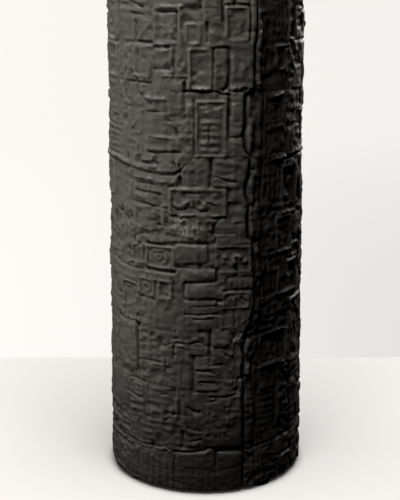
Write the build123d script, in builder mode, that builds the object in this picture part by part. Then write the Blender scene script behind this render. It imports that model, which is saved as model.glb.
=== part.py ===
"""Tall black clay vase, slab built: a tapering cylinder that stands on four rubber pads.

The clay pieces are the ones a potter cuts and lutes together before firing: a base slab with a bevelled edge,
a low foot band round it, two tall wall slabs rolled into rings, the coils that close their upright seam, the
coils pressed inside over each joint, and a rounded rim coil. Every joint is bevelled through the wall.

Frame: origin on the floor under the middle of the vase, +Z up, -Y is the front. Sizes are millimetres.
An azimuth is turned from the front towards +X, in degrees.
"""

import os
from math import cos, radians, sin, sqrt

from build123d import *

# ---- Overall sizes ----
total_height = 560.0  # floor to the top of the lip
foot_diameter = 179.4  # outside of the clay at its underside
mouth_diameter = 170.0  # outside of the wall at the lip

# ---- Clay slabs ----
wall_thickness = 8.0
base_thickness = 10.0
base_seat = 3.5  # how far the base slab's bevelled edge reaches under the wall
band_height = 39.5  # foot band, from the clay's underside to its outside joint
lower_slab_height = 254.0  # outside height of the lower wall slab
rim_height = 12.0  # outside height of the rim coil
rim_proud = 1.0  # how far the rim stands out past the wall
rim_flare_height = 4.0  # height over which the rim swells out
joint_rise = 5.0  # how much higher a joint is inside than outside
foot_edge_radius = 3.0  # rounding of the outside edge at the floor

# ---- Upright seam, closed by a coil in a V groove ----
seam_azimuth = 29.0
seam_inner_width = 4.0  # width of the groove at the smaller end's inside
seam_outer_width = 12.0  # width of the groove at the larger end's outside
seam_proud = 1.0  # how far the coil stands out past the wall
seam_edge_radius = 0.8

# ---- Coils pressed on the inside ----
cove_size = 9.0  # leg of the coil in the corner between base and wall
joint_coil_width = 14.0
joint_coil_proud = 2.5
inner_seam_width = 16.0
inner_seam_proud = 2.5

# ---- Self-adhesive rubber pads ----
pad_count = 4
pad_diameter = 25.0
pad_thickness = 2.5
pad_edge_radius = 0.8
pad_inset = 1.2  # from the foot's outside edge to the pad's rim
pad_azimuth = 38.0  # the first pad

# ---- Levels worked out from the sizes above ----
underside = pad_thickness
base_top = underside + base_thickness
band_joint = underside + band_height
slab_joint = band_joint + lower_slab_height
rim_joint = total_height - rim_height
lip_radius = (wall_thickness + rim_proud) / 2
foot_rounding = min(foot_edge_radius, 0.7 * (wall_thickness - base_seat))


def outside_radius(z):
    """Outside radius of the wall at height z: a straight taper from foot to mouth."""
    share = (z - underside) / (total_height - underside)
    return (foot_diameter + (mouth_diameter - foot_diameter) * share) / 2


def inside_radius(z):
    """Inside radius of the wall at height z."""
    return outside_radius(z) - wall_thickness


def joint_line(z, proud=0.0):
    """The two ends of a bevelled joint in the radius-height plane, outside end first.

    z is the joint's height on the outside of the wall. proud carries the outside end on along the same bevel.
    """
    inner = Vector(inside_radius(z + joint_rise), z + joint_rise)
    outer = Vector(outside_radius(z), z)
    beyond = outer + (outer - inner) * (proud / wall_thickness)
    return beyond, inner


def azimuth_plane(azimuth, z=0.0):
    """A level plane at height z whose X axis points out from the vase's axis at that azimuth."""
    out = (sin(radians(azimuth)), -cos(radians(azimuth)), 0)
    return Plane(origin=(0, 0, z), x_dir=out, z_dir=(0, 0, 1))


def slab_section(low_joint, high_joint, proud=0.0):
    """The corners of a wall slab between two bevelled joints, in the radius-height plane."""
    low_outer, low_inner = joint_line(low_joint, proud)
    high_outer, high_inner = joint_line(high_joint, proud)
    return low_outer, high_outer, high_inner, low_inner


def groove_plan():
    """The corners, seen from above, of the V groove that the seam coil fills."""
    inner = min(inside_radius(underside), inside_radius(total_height))
    outer = max(outside_radius(underside), outside_radius(total_height))
    spread = (seam_outer_width - seam_inner_width) / (outer - inner)
    reach = seam_proud + rim_proud
    start = inner - reach
    end = outer + reach
    start_half = (seam_inner_width - spread * reach) / 2
    end_half = (seam_outer_width + spread * reach) / 2
    return (start, -start_half), (end, -end_half), (end, end_half), (start, start_half)


def finish(part, name):
    """Labels a finished piece and writes it to its own STEP file."""
    part.label = name
    export_step(part, f"parts/{name}.step")


def make_wall_slab(name, low_joint, high_joint):
    """A slab rolled into a ring between two joints, with the V groove where its ends meet."""
    with BuildPart() as slab:
        with BuildSketch(Plane.XZ):
            with BuildLine():
                Polyline(*slab_section(low_joint, high_joint), close=True)
            make_face()
        revolve(axis=Axis.Z)
        with BuildSketch(azimuth_plane(seam_azimuth)):
            with BuildLine():
                Polyline(*groove_plan(), close=True)
            make_face()
        extrude(amount=total_height, mode=Mode.SUBTRACT)
    finish(slab.part, name)


def make_seam_coil(name, low_joint, high_joint):
    """The coil that fills a wall slab's V groove and stands a little proud outside."""
    with BuildPart() as coil:
        with BuildSketch(Plane.XZ):
            with BuildLine():
                Polyline(*slab_section(low_joint, high_joint, seam_proud), close=True)
            make_face()
        revolve(axis=Axis.Z)
        with BuildSketch(azimuth_plane(seam_azimuth)):
            with BuildLine():
                Polyline(*groove_plan(), close=True)
            make_face()
        extrude(amount=total_height, mode=Mode.INTERSECT)
        crown = coil.faces().filter_by(GeomType.CONE).sort_by(SortBy.AREA)[-1]
        fillet(crown.edges().sort_by(SortBy.LENGTH)[-2:], seam_edge_radius)
    finish(coil.part, name)


def make_joint_coil(name, joint):
    """A flattened ring of clay pressed inside over a level joint."""
    middle = joint + joint_rise
    low = middle - joint_coil_width / 2
    high = middle + joint_coil_width / 2
    with BuildPart() as coil:
        with BuildSketch(Plane.XZ):
            with BuildLine():
                Line((inside_radius(low), low), (inside_radius(high), high))
                ThreePointArc(
                    (inside_radius(high), high),
                    (inside_radius(middle) - joint_coil_proud, middle),
                    (inside_radius(low), low),
                )
            make_face()
        revolve(axis=Axis.Z)
    finish(coil.part, name)


def make_inner_seam_coil(name, low, high):
    """A flattened strip of clay pressed inside along the upright seam, between two levels."""
    half = inner_seam_width / 2
    with BuildPart() as coil:
        for z in (low, high):
            radius = inside_radius(z)
            edge = sqrt(radius**2 - half**2)
            back = radius + inner_seam_proud  # runs past the wall's face and is trimmed to it below
            with BuildSketch(azimuth_plane(seam_azimuth, z)):
                with BuildLine():
                    Polyline((edge, -half), (back, -half), (back, half), (edge, half))
                    ThreePointArc((edge, half), (radius - inner_seam_proud, 0), (edge, -half))
                make_face()
        loft(ruled=True)
        with BuildSketch(Plane.XZ):
            with BuildLine():
                Polyline(
                    (0, low),
                    (inside_radius(low), low),
                    (inside_radius(high), high),
                    (0, high),
                    close=True,
                )
            make_face()
        revolve(axis=Axis.Z, mode=Mode.INTERSECT)
    finish(coil.part, name)


def make_base_slab():
    """The floor of the vase: a disc whose edge is bevelled to sit inside the foot band."""
    with BuildPart() as slab:
        with BuildSketch(Plane.XZ):
            with BuildLine():
                Polyline(
                    (0, underside),
                    (inside_radius(underside) + base_seat, underside),
                    (inside_radius(base_top), base_top),
                    (0, base_top),
                    close=True,
                )
            make_face()
        revolve(axis=Axis.Z)
    finish(slab.part, "base_slab")


def make_foot_band():
    """The low first ring of the wall, bevelled inside for the base slab and above for the wall."""
    top_outer, top_inner = joint_line(band_joint)
    with BuildPart() as band:
        with BuildSketch(Plane.XZ):
            with BuildLine():
                Polyline(
                    (outside_radius(underside), underside),
                    top_outer,
                    top_inner,
                    (inside_radius(base_top), base_top),
                    (inside_radius(underside) + base_seat, underside),
                    close=True,
                )
            make_face()
        revolve(axis=Axis.Z)
        foot_edges = band.edges().filter_by(GeomType.CIRCLE).group_by(Axis.Z)[0]
        fillet(foot_edges.sort_by(SortBy.RADIUS)[-1], foot_rounding)
    finish(band.part, "foot_band")


def make_foot_coil():
    """The cove of clay pressed into the corner between the base slab and the foot band."""
    corner = Vector(inside_radius(base_top), base_top)
    on_base = corner - Vector(cove_size, 0)
    on_wall = Vector(inside_radius(base_top + cove_size), base_top + cove_size)
    hollow = corner + Vector(-0.4, 0.4) * cove_size
    with BuildPart() as coil:
        with BuildSketch(Plane.XZ):
            with BuildLine():
                Polyline(on_base, corner, on_wall)
                ThreePointArc(on_wall, hollow, on_base)
            make_face()
        revolve(axis=Axis.Z)
    finish(coil.part, "foot_coil")


def make_rim_coil():
    """The rounded lip, luted to the bevelled top of the upper wall slab."""
    outer, inner = joint_line(rim_joint)
    flare = rim_joint + rim_flare_height
    shoulder = total_height - lip_radius
    lip_outer = Vector(outside_radius(shoulder) + rim_proud, shoulder)
    lip_inner = Vector(inside_radius(shoulder), shoulder)
    lip_top = Vector((lip_outer.X + lip_inner.X) / 2, total_height)
    with BuildPart() as rim:
        with BuildSketch(Plane.XZ):
            with BuildLine():
                Polyline(inner, outer, (outside_radius(flare) + rim_proud, flare), lip_outer)
                ThreePointArc(lip_outer, lip_top, lip_inner)
                Line(lip_inner, inner)
            make_face()
        revolve(axis=Axis.Z)
    finish(rim.part, "rim_coil")


def make_foot_pads():
    """Round rubber pads stuck under the foot, evenly spaced, each in its own node."""
    pad_radius = pad_diameter / 2
    pad_circle = foot_diameter / 2 - pad_inset - pad_radius
    for number in range(pad_count):
        azimuth = pad_azimuth + number * 360 / pad_count
        with BuildPart() as pad:
            with BuildSketch(azimuth_plane(azimuth)):
                with Locations((pad_circle, 0)):
                    Circle(pad_radius)
            extrude(amount=pad_thickness)
            fillet(pad.edges().group_by(Axis.Z)[0], pad_edge_radius)
        finish(pad.part, f"foot_pad_{number + 1}")


def make_vase():
    """Builds every piece, from the floor up."""
    os.makedirs("parts", exist_ok=True)
    half_coil = joint_coil_width / 2
    make_foot_pads()
    make_base_slab()
    make_foot_band()
    make_foot_coil()
    make_wall_slab("lower_wall_slab", band_joint, slab_joint)
    make_wall_slab("upper_wall_slab", slab_joint, rim_joint)
    make_seam_coil("lower_seam_coil", band_joint, slab_joint)
    make_seam_coil("upper_seam_coil", slab_joint, rim_joint)
    make_joint_coil("band_joint_coil", band_joint)
    make_joint_coil("slab_joint_coil", slab_joint)
    make_inner_seam_coil(
        "lower_inner_seam_coil",
        band_joint + joint_rise + half_coil,
        slab_joint + joint_rise - half_coil,
    )
    make_inner_seam_coil(
        "upper_inner_seam_coil",
        slab_joint + joint_rise + half_coil,
        rim_joint + joint_rise,
    )
    make_rim_coil()


make_vase()
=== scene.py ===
"""Looks of a tall slab-built vase in black fired clay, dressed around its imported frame.

The outside is one skin of clay, pressed with worn blocks, frames, combs and curls while it lay flat, then
rolled round the vase. Every wall piece is cut out of that skin along its own joints, so the relief runs on
across them.

Azimuths are degrees from the front (-Y) towards +X. Relief is worked out in millimetres and meshes in metres.
"""

from __future__ import annotations

import logging
import math
from dataclasses import dataclass
from enum import Enum, auto
from functools import partial
from typing import Callable, Sequence

import bpy
import numpy as np
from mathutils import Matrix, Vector

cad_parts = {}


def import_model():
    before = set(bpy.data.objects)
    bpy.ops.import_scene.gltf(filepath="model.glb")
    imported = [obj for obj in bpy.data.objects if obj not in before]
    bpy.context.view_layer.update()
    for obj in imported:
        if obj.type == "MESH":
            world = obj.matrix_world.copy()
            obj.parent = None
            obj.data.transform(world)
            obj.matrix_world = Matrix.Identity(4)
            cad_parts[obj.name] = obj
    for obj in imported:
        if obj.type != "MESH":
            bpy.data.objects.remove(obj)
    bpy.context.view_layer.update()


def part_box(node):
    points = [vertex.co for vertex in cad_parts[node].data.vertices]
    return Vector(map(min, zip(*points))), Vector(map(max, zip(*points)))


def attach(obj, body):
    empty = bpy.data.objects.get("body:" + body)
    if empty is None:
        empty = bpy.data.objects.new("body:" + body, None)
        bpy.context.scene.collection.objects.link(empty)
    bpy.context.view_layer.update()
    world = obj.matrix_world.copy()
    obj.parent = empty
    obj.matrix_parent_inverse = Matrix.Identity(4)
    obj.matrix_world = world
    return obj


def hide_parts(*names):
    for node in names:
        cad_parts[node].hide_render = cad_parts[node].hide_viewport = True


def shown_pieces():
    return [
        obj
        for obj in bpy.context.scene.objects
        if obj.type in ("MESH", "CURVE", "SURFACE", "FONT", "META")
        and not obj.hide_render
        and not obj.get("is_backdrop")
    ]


MM = 0.001
WELD = 0.02 * MM  # points nearer than this are one point
FULL_TURN = 360.0
HOLLOW = "hollow"  # attribute: how far the clay stands over its surroundings, in millimetres
log = logging.getLogger("black_clay_vase")

Array = np.ndarray
Point = tuple[float, float]
Colour = tuple[float, float, float]

ROUND = np.linspace(-180.0, 180.0, 361)  # azimuths of the points in a ring
BLACK: Colour = (0.0, 0.0, 0.0)


# ---- Sizes ---------------------------------------------------


@dataclass(frozen=True)
class Measures:
    """Sizes of the vase, read from the frame's boxes, in metres."""

    foot_level: float
    band_joint: float
    slab_joint: float
    rim_joint: float
    height: float
    joint_rise: float
    low_radius: float
    high_radius: float
    wall: float

    @classmethod
    def from_frame(cls) -> Measures:
        """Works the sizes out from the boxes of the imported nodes.

        Returns:
            The sizes that the visual pieces are built to.
        """
        band_low, band_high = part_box("foot_band")
        lower_low, lower_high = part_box("lower_wall_slab")
        upper_low, upper_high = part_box("upper_wall_slab")
        rim_low, rim_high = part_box("rim_coil")
        coil_low, coil_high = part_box("band_joint_coil")
        slope = (upper_high.x - lower_high.x) / (upper_low.z - lower_low.z)
        outside_at_coil = lower_high.x + slope * (coil_low.z - lower_low.z)
        return cls(
            foot_level=band_low.z,
            band_joint=lower_low.z,
            slab_joint=upper_low.z,
            rim_joint=rim_low.z,
            height=rim_high.z,
            joint_rise=band_high.z - lower_low.z,
            low_radius=lower_high.x,
            high_radius=upper_high.x,
            wall=outside_at_coil - coil_high.x,
        )

    @property
    def slope(self) -> float:
        """Change of the outside radius for each metre of height."""
        return (self.high_radius - self.low_radius) / (self.slab_joint - self.band_joint)

    def outside(self, level: float) -> float:
        """Outside radius of the plain wall at a height."""
        return self.low_radius + self.slope * (level - self.band_joint)

    def inside(self, level: float) -> float:
        """Inside radius of the wall at a height."""
        return self.outside(level) - self.wall

    @property
    def roll_radius(self) -> float:
        """Radius that the flat slabs are measured on: that of the middle of the wall."""
        return self.outside(self.height / 2)


# ---- Relief --------------------------------------------------


class Motif(Enum):
    """What a block leaves in the clay."""

    PLATE = auto()
    FRAME = auto()
    BARS = auto()
    COMB = auto()
    NESTED = auto()
    OVALS = auto()
    CURLS = auto()
    GRID = auto()
    RISING = auto()
    FALLING = auto()
    CRUMPLED = auto()


@dataclass(frozen=True)
class Stamp:
    """One block pressed into the slab.

    Fields: the motif; its left and right azimuths; its low and high levels; how high its field stands on
    the mean wall; how deep its own pattern is; how often the pattern repeats; its turn in degrees; the
    radius of its corners; and the sides, of l, r, t and b, where its edge bit into the clay.
    """

    motif: Motif
    left: float
    right: float
    low: float
    high: float
    level: float = 0.0
    depth: float = 0.8
    count: int = 3
    turn: float = 0.0
    corner: float = 2.0
    bite: str = ""


@dataclass(frozen=True)
class Stroke:
    """A line drawn in the clay through points of azimuth and level: a cut if its depth is negative."""

    points: tuple[Point, ...]
    depth: float = -1.4
    width: float = 1.6


@dataclass(frozen=True)
class Route:
    """A line that wanders round or up the vase, given by the points that it goes through."""

    points: tuple[Point, ...]

    def at(self, where: Array, period: float | None = None) -> Array:
        """The route's second value where its first is given, closed on itself if it has a period."""
        along, across = np.array(self.points).T
        return np.interp(where, along, across, period=period)


M = Motif
plate, frame, bars, comb, nested, ovals, curls, grid, rising, falling, crumpled = (
    partial(Stamp, motif) for motif in Motif
)

MOTIF_ODDS = {
    M.PLATE: 0.24, M.FRAME: 0.2, M.BARS: 0.14, M.COMB: 0.08, M.NESTED: 0.04, M.OVALS: 0.03, M.CURLS: 0.07,
    M.RISING: 0.03, M.FALLING: 0.03, M.CRUMPLED: 0.14,
}  # fmt: skip

SEAM_CRACK = Route((
    (38, 22), (120, 21.8), (128, 22.5), (136, 21), (148, 22.2), (160, 26), (175, 28.6), (190, 28),
    (212, 28.4), (230, 27.4), (235, 24.6), (256, 24), (262, 25.2), (266, 24.2), (272, 22.3), (279, 22),
    (286, 23.6), (292, 25), (305, 25.3), (309, 23.2), (313, 22.2), (320, 21.8), (324, 21.3), (331, 23.4),
    (337, 23), (358, 22.4), (362, 27.4), (398, 27.2), (402, 28.4), (440, 28.6), (470, 27), (500, 28.5),
    (530, 27.2), (560, 28.2),
))  # fmt: skip
SEAM_HEEL = Route((
    (38, 30), (70, 30.5), (85, 31), (100, 27.5), (120, 29), (140, 33), (165, 34.5), (200, 35), (225, 34),
    (245, 36), (262, 34), (290, 34.5), (300, 35.5), (330, 36), (356, 35.4), (364, 33.5), (398, 34),
    (430, 33.5), (470, 35), (510, 33), (560, 34.5),
))  # fmt: skip
BAND_LINE = Route((
    (-180, 41), (-150, 42.5), (-120, 40.5), (-90, 42), (-66, 40), (-50, 40.5), (-37, 40.2), (-28, 41.5),
    (-24, 43.4), (-19, 38.6), (-16, 40), (-8, 40.6), (-1, 42), (2, 45), (3.6, 44.6), (5.6, 41.4),
    (14, 41.6), (21, 41), (27, 39.5), (40, 41), (62, 42), (90, 40.5), (130, 42.6), (160, 40.6), (180, 41),
))  # fmt: skip
SLAB_LINE = Route((
    (-180, 295), (-150, 299), (-120, 293), (-90, 296), (-66, 294.5), (-52, 293.4), (-42, 291.5),
    (-31, 289.8), (-18, 290.4), (-15, 293), (-12, 298), (-8, 304), (0, 306), (12, 305.2), (24, 304.6),
    (36, 298), (47, 296.6), (60, 298.4), (74, 299), (100, 295), (130, 299), (155, 293), (180, 295),
))  # fmt: skip

UPPER_STAMPS = (
    frame(-80, -62, 398, 433),
    bars(-60, -32, 415, 435, -0.1, 0.9, 3, -3),
    frame(-59, -45, 400, 418, -0.4, 0.6),
    rising(-42.5, -31, 400, 417.5, -0.2, bite="lb"),
    frame(-31, -14, 397, 429, 0.2),
    falling(-28, -16.5, 401, 426, -0.4),
    falling(-12.5, -3.5, 415, 427, -0.3, 0.9),
    frame(-12.5, -3, 397, 416, 0.1, 0.9),
    plate(-2.6, 9, 416.5, 437, 0.5, 0.3, bite="lr"),
    plate(-2.6, 0.3, 394, 416, -0.3, 0.2),
    curls(0.8, 9.6, 400, 416, 0.3, 0.5, bite="l"),
    plate(1, 27, 395.5, 402, 0.3, 0.2),
    frame(10, 24, 401, 430, 0.3, bite="rt"),
    plate(24.4, 28.2, 402, 437, 0.5, 0.3),
    frame(-80, -61.5, 367, 397, 0.1, 0.9),
    crumpled(-60, -45, 370, 398, -0.1, 0.9),
    frame(-44.5, -32.5, 370, 397, -0.1, 0.7),
    bars(-31, -20.5, 371, 396, 0.0, 1.0, bite="t"),
    ovals(-18.5, -10, 370, 396, 0.0, 0.7, 1, bite="l"),
    frame(-10, 3.8, 361.5, 396, 0.1, 0.7, bite="r"),
    falling(4.8, 12.6, 364, 396, 0.0, 0.5, bite="tr"),
    curls(13.4, 27.2, 363, 396.5, 0.5, 0.4, 4, bite="r"),
    crumpled(-60, -40, 340, 367, -0.1),
    bars(-80, -60, 338, 366, 0.0, 0.8, 4, 6),
    bars(-38, -21, 306, 359, 0.0, 0.9, 6, -1),
    plate(-31, -12.4, 339, 368.5, 0.5, 0.3, corner=6, bite="r"),
    comb(-20, -12.6, 339, 361, 0.2, 0.5, 2),
    crumpled(-20, -8, 308, 341, -0.1),
    plate(-11, 12.5, 353, 361, -0.7, 0.2),
    frame(-6.4, 12, 305, 354, 0.1, bite="l"),
    bars(-4.4, 9.6, 309, 344, 0.0, 0.9, 6, -2),
    crumpled(-3.6, 9.4, 342, 350, 0.1),
    plate(13.4, 21.4, 322, 358, 0.3, 0.4, bite="lrb"),
    comb(11, 14.2, 305, 322, 0.1, 0.6, 2),
    plate(14.4, 22, 300, 321.5, 0.4, 0.3),
    frame(-58, -48, 328, 341, -0.5),
    rising(-48, -39, 326, 341, -0.1),
    nested(-84, -50, 299, 329, 0.1, corner=9),
    crumpled(-49, -39, 299, 327, -0.1),
)  # fmt: skip

MIDDLE_STAMPS = (
    grid(-67, -49.5, 266, 295, -0.5, 0.5, 4),
    frame(-82, -67.5, 262, 295, 0.2, 0.7),
    plate(-28, -18.5, 290, 303, 0.4, 0.3),
    bars(-47, -31, 257, 290, 0.1, 1.1, 4, -4),
    bars(-31, -16.5, 257, 290, 0.2, 0.8, 3, -5, bite="r"),
    crumpled(-36, -24, 262, 280, 0.1, 0.9),
    curls(-63, -48, 249, 267, 0.0, 0.9),
    plate(-14.6, -7, 281, 300, 0.1, 0.3, bite="l"),
    ovals(-7, 2.6, 282, 306, 0.0, 0.4, 1),
    bars(3.2, 19.5, 279, 304.5, 0.4, 0.8, 4, -5, bite="l"),
    plate(19.6, 24.8, 270, 304, 0.1, 0.2),
    frame(-21, 11.4, 254.5, 279.5, 0.4, 0.9, bite="b"),
    curls(-19, -7, 257.5, 276.5, 0.3, 1.0, 2),
    curls(-7.5, 9, 257.5, 276.5, 0.3, 1.0),
    frame(11, 22.5, 249, 270, 0.0, 0.5),
    crumpled(-46, -21, 236, 257, 0.0, 0.7),
    crumpled(-70, -46, 206, 249, -0.1, 0.9),
    crumpled(-18.6, 2.6, 236, 256.5, 0.2, 0.6),
    bars(4.4, 18.6, 236, 249.5, 0.3, 0.7, 2, bite="l"),
    plate(18, 23.8, 235, 262, 0.4, 0.2),
    plate(6, 26.8, 229, 235, 0.5, 0.3),
    plate(-36.5, -16, 229, 236, 0.2, 0.4),
    plate(-17.5, 1.5, 213.6, 230.4, 0.6, 0.3, bite="tr"),
    frame(-36.5, -17, 207, 228.5, 0.3, bite="tb"),
    ovals(-34.5, -20.5, 210, 225.5, 0.1, 1.0, 2),
    frame(-48, -38, 208, 226, 0.2),
    frame(5, 26.5, 204, 230, 0.3, 0.7, bite="r"),
    curls(8, 24, 209, 227, 0.2, 1.3, 4),
    plate(-14, 6.2, 197.4, 209.6, 0.5, 0.4, bite="r"),
    plate(-38, -17, 199.5, 206, 0.2, 0.4),
    plate(-12.4, 6.2, 182.6, 197, 0.5, 0.4, bite="tlb"),
    crumpled(7, 27.5, 189, 204, 0.3, 0.4),
    comb(12, 24, 190, 202, 0.1, 1.0, 4),
    bars(-72, -38, 190, 206, 0.2, 0.8, 2, -1),
    frame(-58, -43, 154, 191, 0.1, 0.9),
    frame(-42, -30.5, 179, 197.5, 0.3, bite="b"),
    ovals(-40.5, -32, 182, 195, 0.1, 1.0, 1),
    frame(-29, -19, 180, 199, 0.4, 1.1, bite="r"),
    comb(-18.6, -12.8, 178, 199, 0.1, 0.5),
    plate(-42, -20, 146, 178, 0.1, 0.3),
    plate(-20, -8, 146, 178, 0.2, 0.2),
    frame(9, 25.6, 172, 189, 0.4, 0.9, bite="t"),
    curls(11, 24.6, 174, 187, 0.2, 1.1),
    bars(-12, 6.4, 155, 182, 0.2, 0.4),
    comb(7, 27.5, 151, 172.5, 0.2, 0.7, 5),
)  # fmt: skip

LOWER_STAMPS = (
    plate(-62, -43.2, 109, 154.5, 0.7, 0.4, bite="rt"),
    plate(-80, -63, 108, 152, 0.2, 0.4, bite="r"),
    crumpled(-42, -28, 122, 149, 0.0, 0.5),
    plate(-27, -19, 122, 137, 0.3, 0.2),
    plate(-17, -9, 122, 140, 0.3, 0.2),
    bars(-9, -0.5, 131, 148, 0.0, 0.7, 4),
    plate(2.6, 14.4, 137, 153.5, 0.5, 0.4, corner=4, bite="l"),
    plate(2.6, 13, 123.5, 136, 0.4, 0.3, bite="l"),
    curls(13, 21, 122, 152, -0.2, 1.6),
    ovals(19, 27.5, 118, 150, 0.0, 1.3, 2),
    crumpled(-42, -17, 101, 121, 0.1, 0.5),
    bars(-7, 10, 98, 124, 0.2, 0.8, 4, 1),
    ovals(9.6, 18.6, 101, 122, 0.1, 0.7, 1),
    comb(-17.6, -7.6, 64, 124, 0.1, 0.5),
    plate(-8, 0.4, 80, 97, 0.0, 0.2),
    curls(-9, 0.4, 62, 80, 0.0, 0.6, 2),
    plate(1, 21.2, 44, 97, 0.5, 0.3, bite="r"),
    curls(2, 20, 62, 80, 0.4, 0.9, 5),
    bars(3, 12, 80, 95, 0.4, 0.6),
    frame(12.5, 20, 79, 95, 0.4, 0.6),
    nested(-51, -37, 82, 100, 0.1, 0.7, 2, bite="t"),
    bars(-37, -18, 82, 100, 0.0, 0.7, 3, 2),
    bars(-52, -37, 62, 82, 0.0, 0.9, 3, 6),
    crumpled(-37, -18.5, 66, 82, 0.1, 0.9),
    bars(-44, -24, 44, 63, 0.0, 0.8, 3, 4),
    nested(-52, -44, 44, 61, 0.1, 0.8, 2),
    frame(-34, -25, 64, 77, 0.1),
    crumpled(-30, -12, 44, 66, -0.1, 0.7),
    crumpled(-13.6, -0.6, 43, 61, -0.1, 0.7, bite="l"),
    comb(-84, -52, 70, 106, 0.2, 0.9, 4),
    crumpled(-84, -52, 42, 69),
)  # fmt: skip

FOOT_STAMPS = (
    plate(-17.6, 5.2, 2, 41, 0.3, 0.3),
    plate(5.8, 22, 2, 41, 0.3, 0.3, bite="l"),
    comb(-52, -18, 2, 38, -0.1, 0.6, 8),
    comb(-13, 20, 4, 26, 0.1, 0.4, 11),
    crumpled(21, 46, 2, 37, -0.1, 0.7),
)  # fmt: skip

RIGHT_STAMPS = (
    comb(36, 57, 396, 436, -0.5, 0.8, 5),
    frame(57, 67, 398, 436, 0.1),
    frame(34, 42, 372, 396, -0.4, 0.6),
    frame(44.5, 56, 374, 397, -0.1, 0.9),
    crumpled(57, 67, 362, 398, 0.1, 0.9),
    comb(35, 58, 357, 372, -0.4, 0.6, 7),
    frame(35.6, 53, 329, 356, -0.1, 0.6),
    bars(53, 70, 326, 357, 0.1, 0.8, 3, -8),
    frame(35.6, 55, 301, 327, -0.1, 0.6),
    plate(42, 53, 306, 319, 0.3, 0.3),
    comb(55, 70, 300, 327, 0.1, 0.9),
    frame(51, 68, 248, 293, 0.2, 0.9),
    comb(34, 51, 262, 296, -0.4, 0.8, 4),
    crumpled(35, 50, 222, 262, -0.7, 0.6),
    frame(46.5, 62.5, 215, 248, 0.1, 0.9),
    frame(38, 48, 214, 223, -0.1, 0.7),
    frame(48, 70, 176, 207, 0.2, 0.9),
    bars(42, 58, 203, 215, -0.2, 0.6, 1),
    comb(31, 48, 179, 199, -0.5, 1.0, 5),
    crumpled(34, 60, 144, 177, -0.3),
    frame(33, 59, 113, 145, -0.2, 0.9, corner=7),
    frame(61, 80, 108, 170, 0.2),
    plate(26.5, 39, 98, 112.5, 0.2, 0.3),
    frame(39, 48.5, 92, 112, -0.1, 0.6),
    bars(30, 48, 58, 92, -0.3, 0.8, 6, -3),
    crumpled(52, 62, 58, 106, -0.2, 0.9),
    crumpled(27, 62, 40, 58, -0.1, 0.7),
)  # fmt: skip

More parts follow.
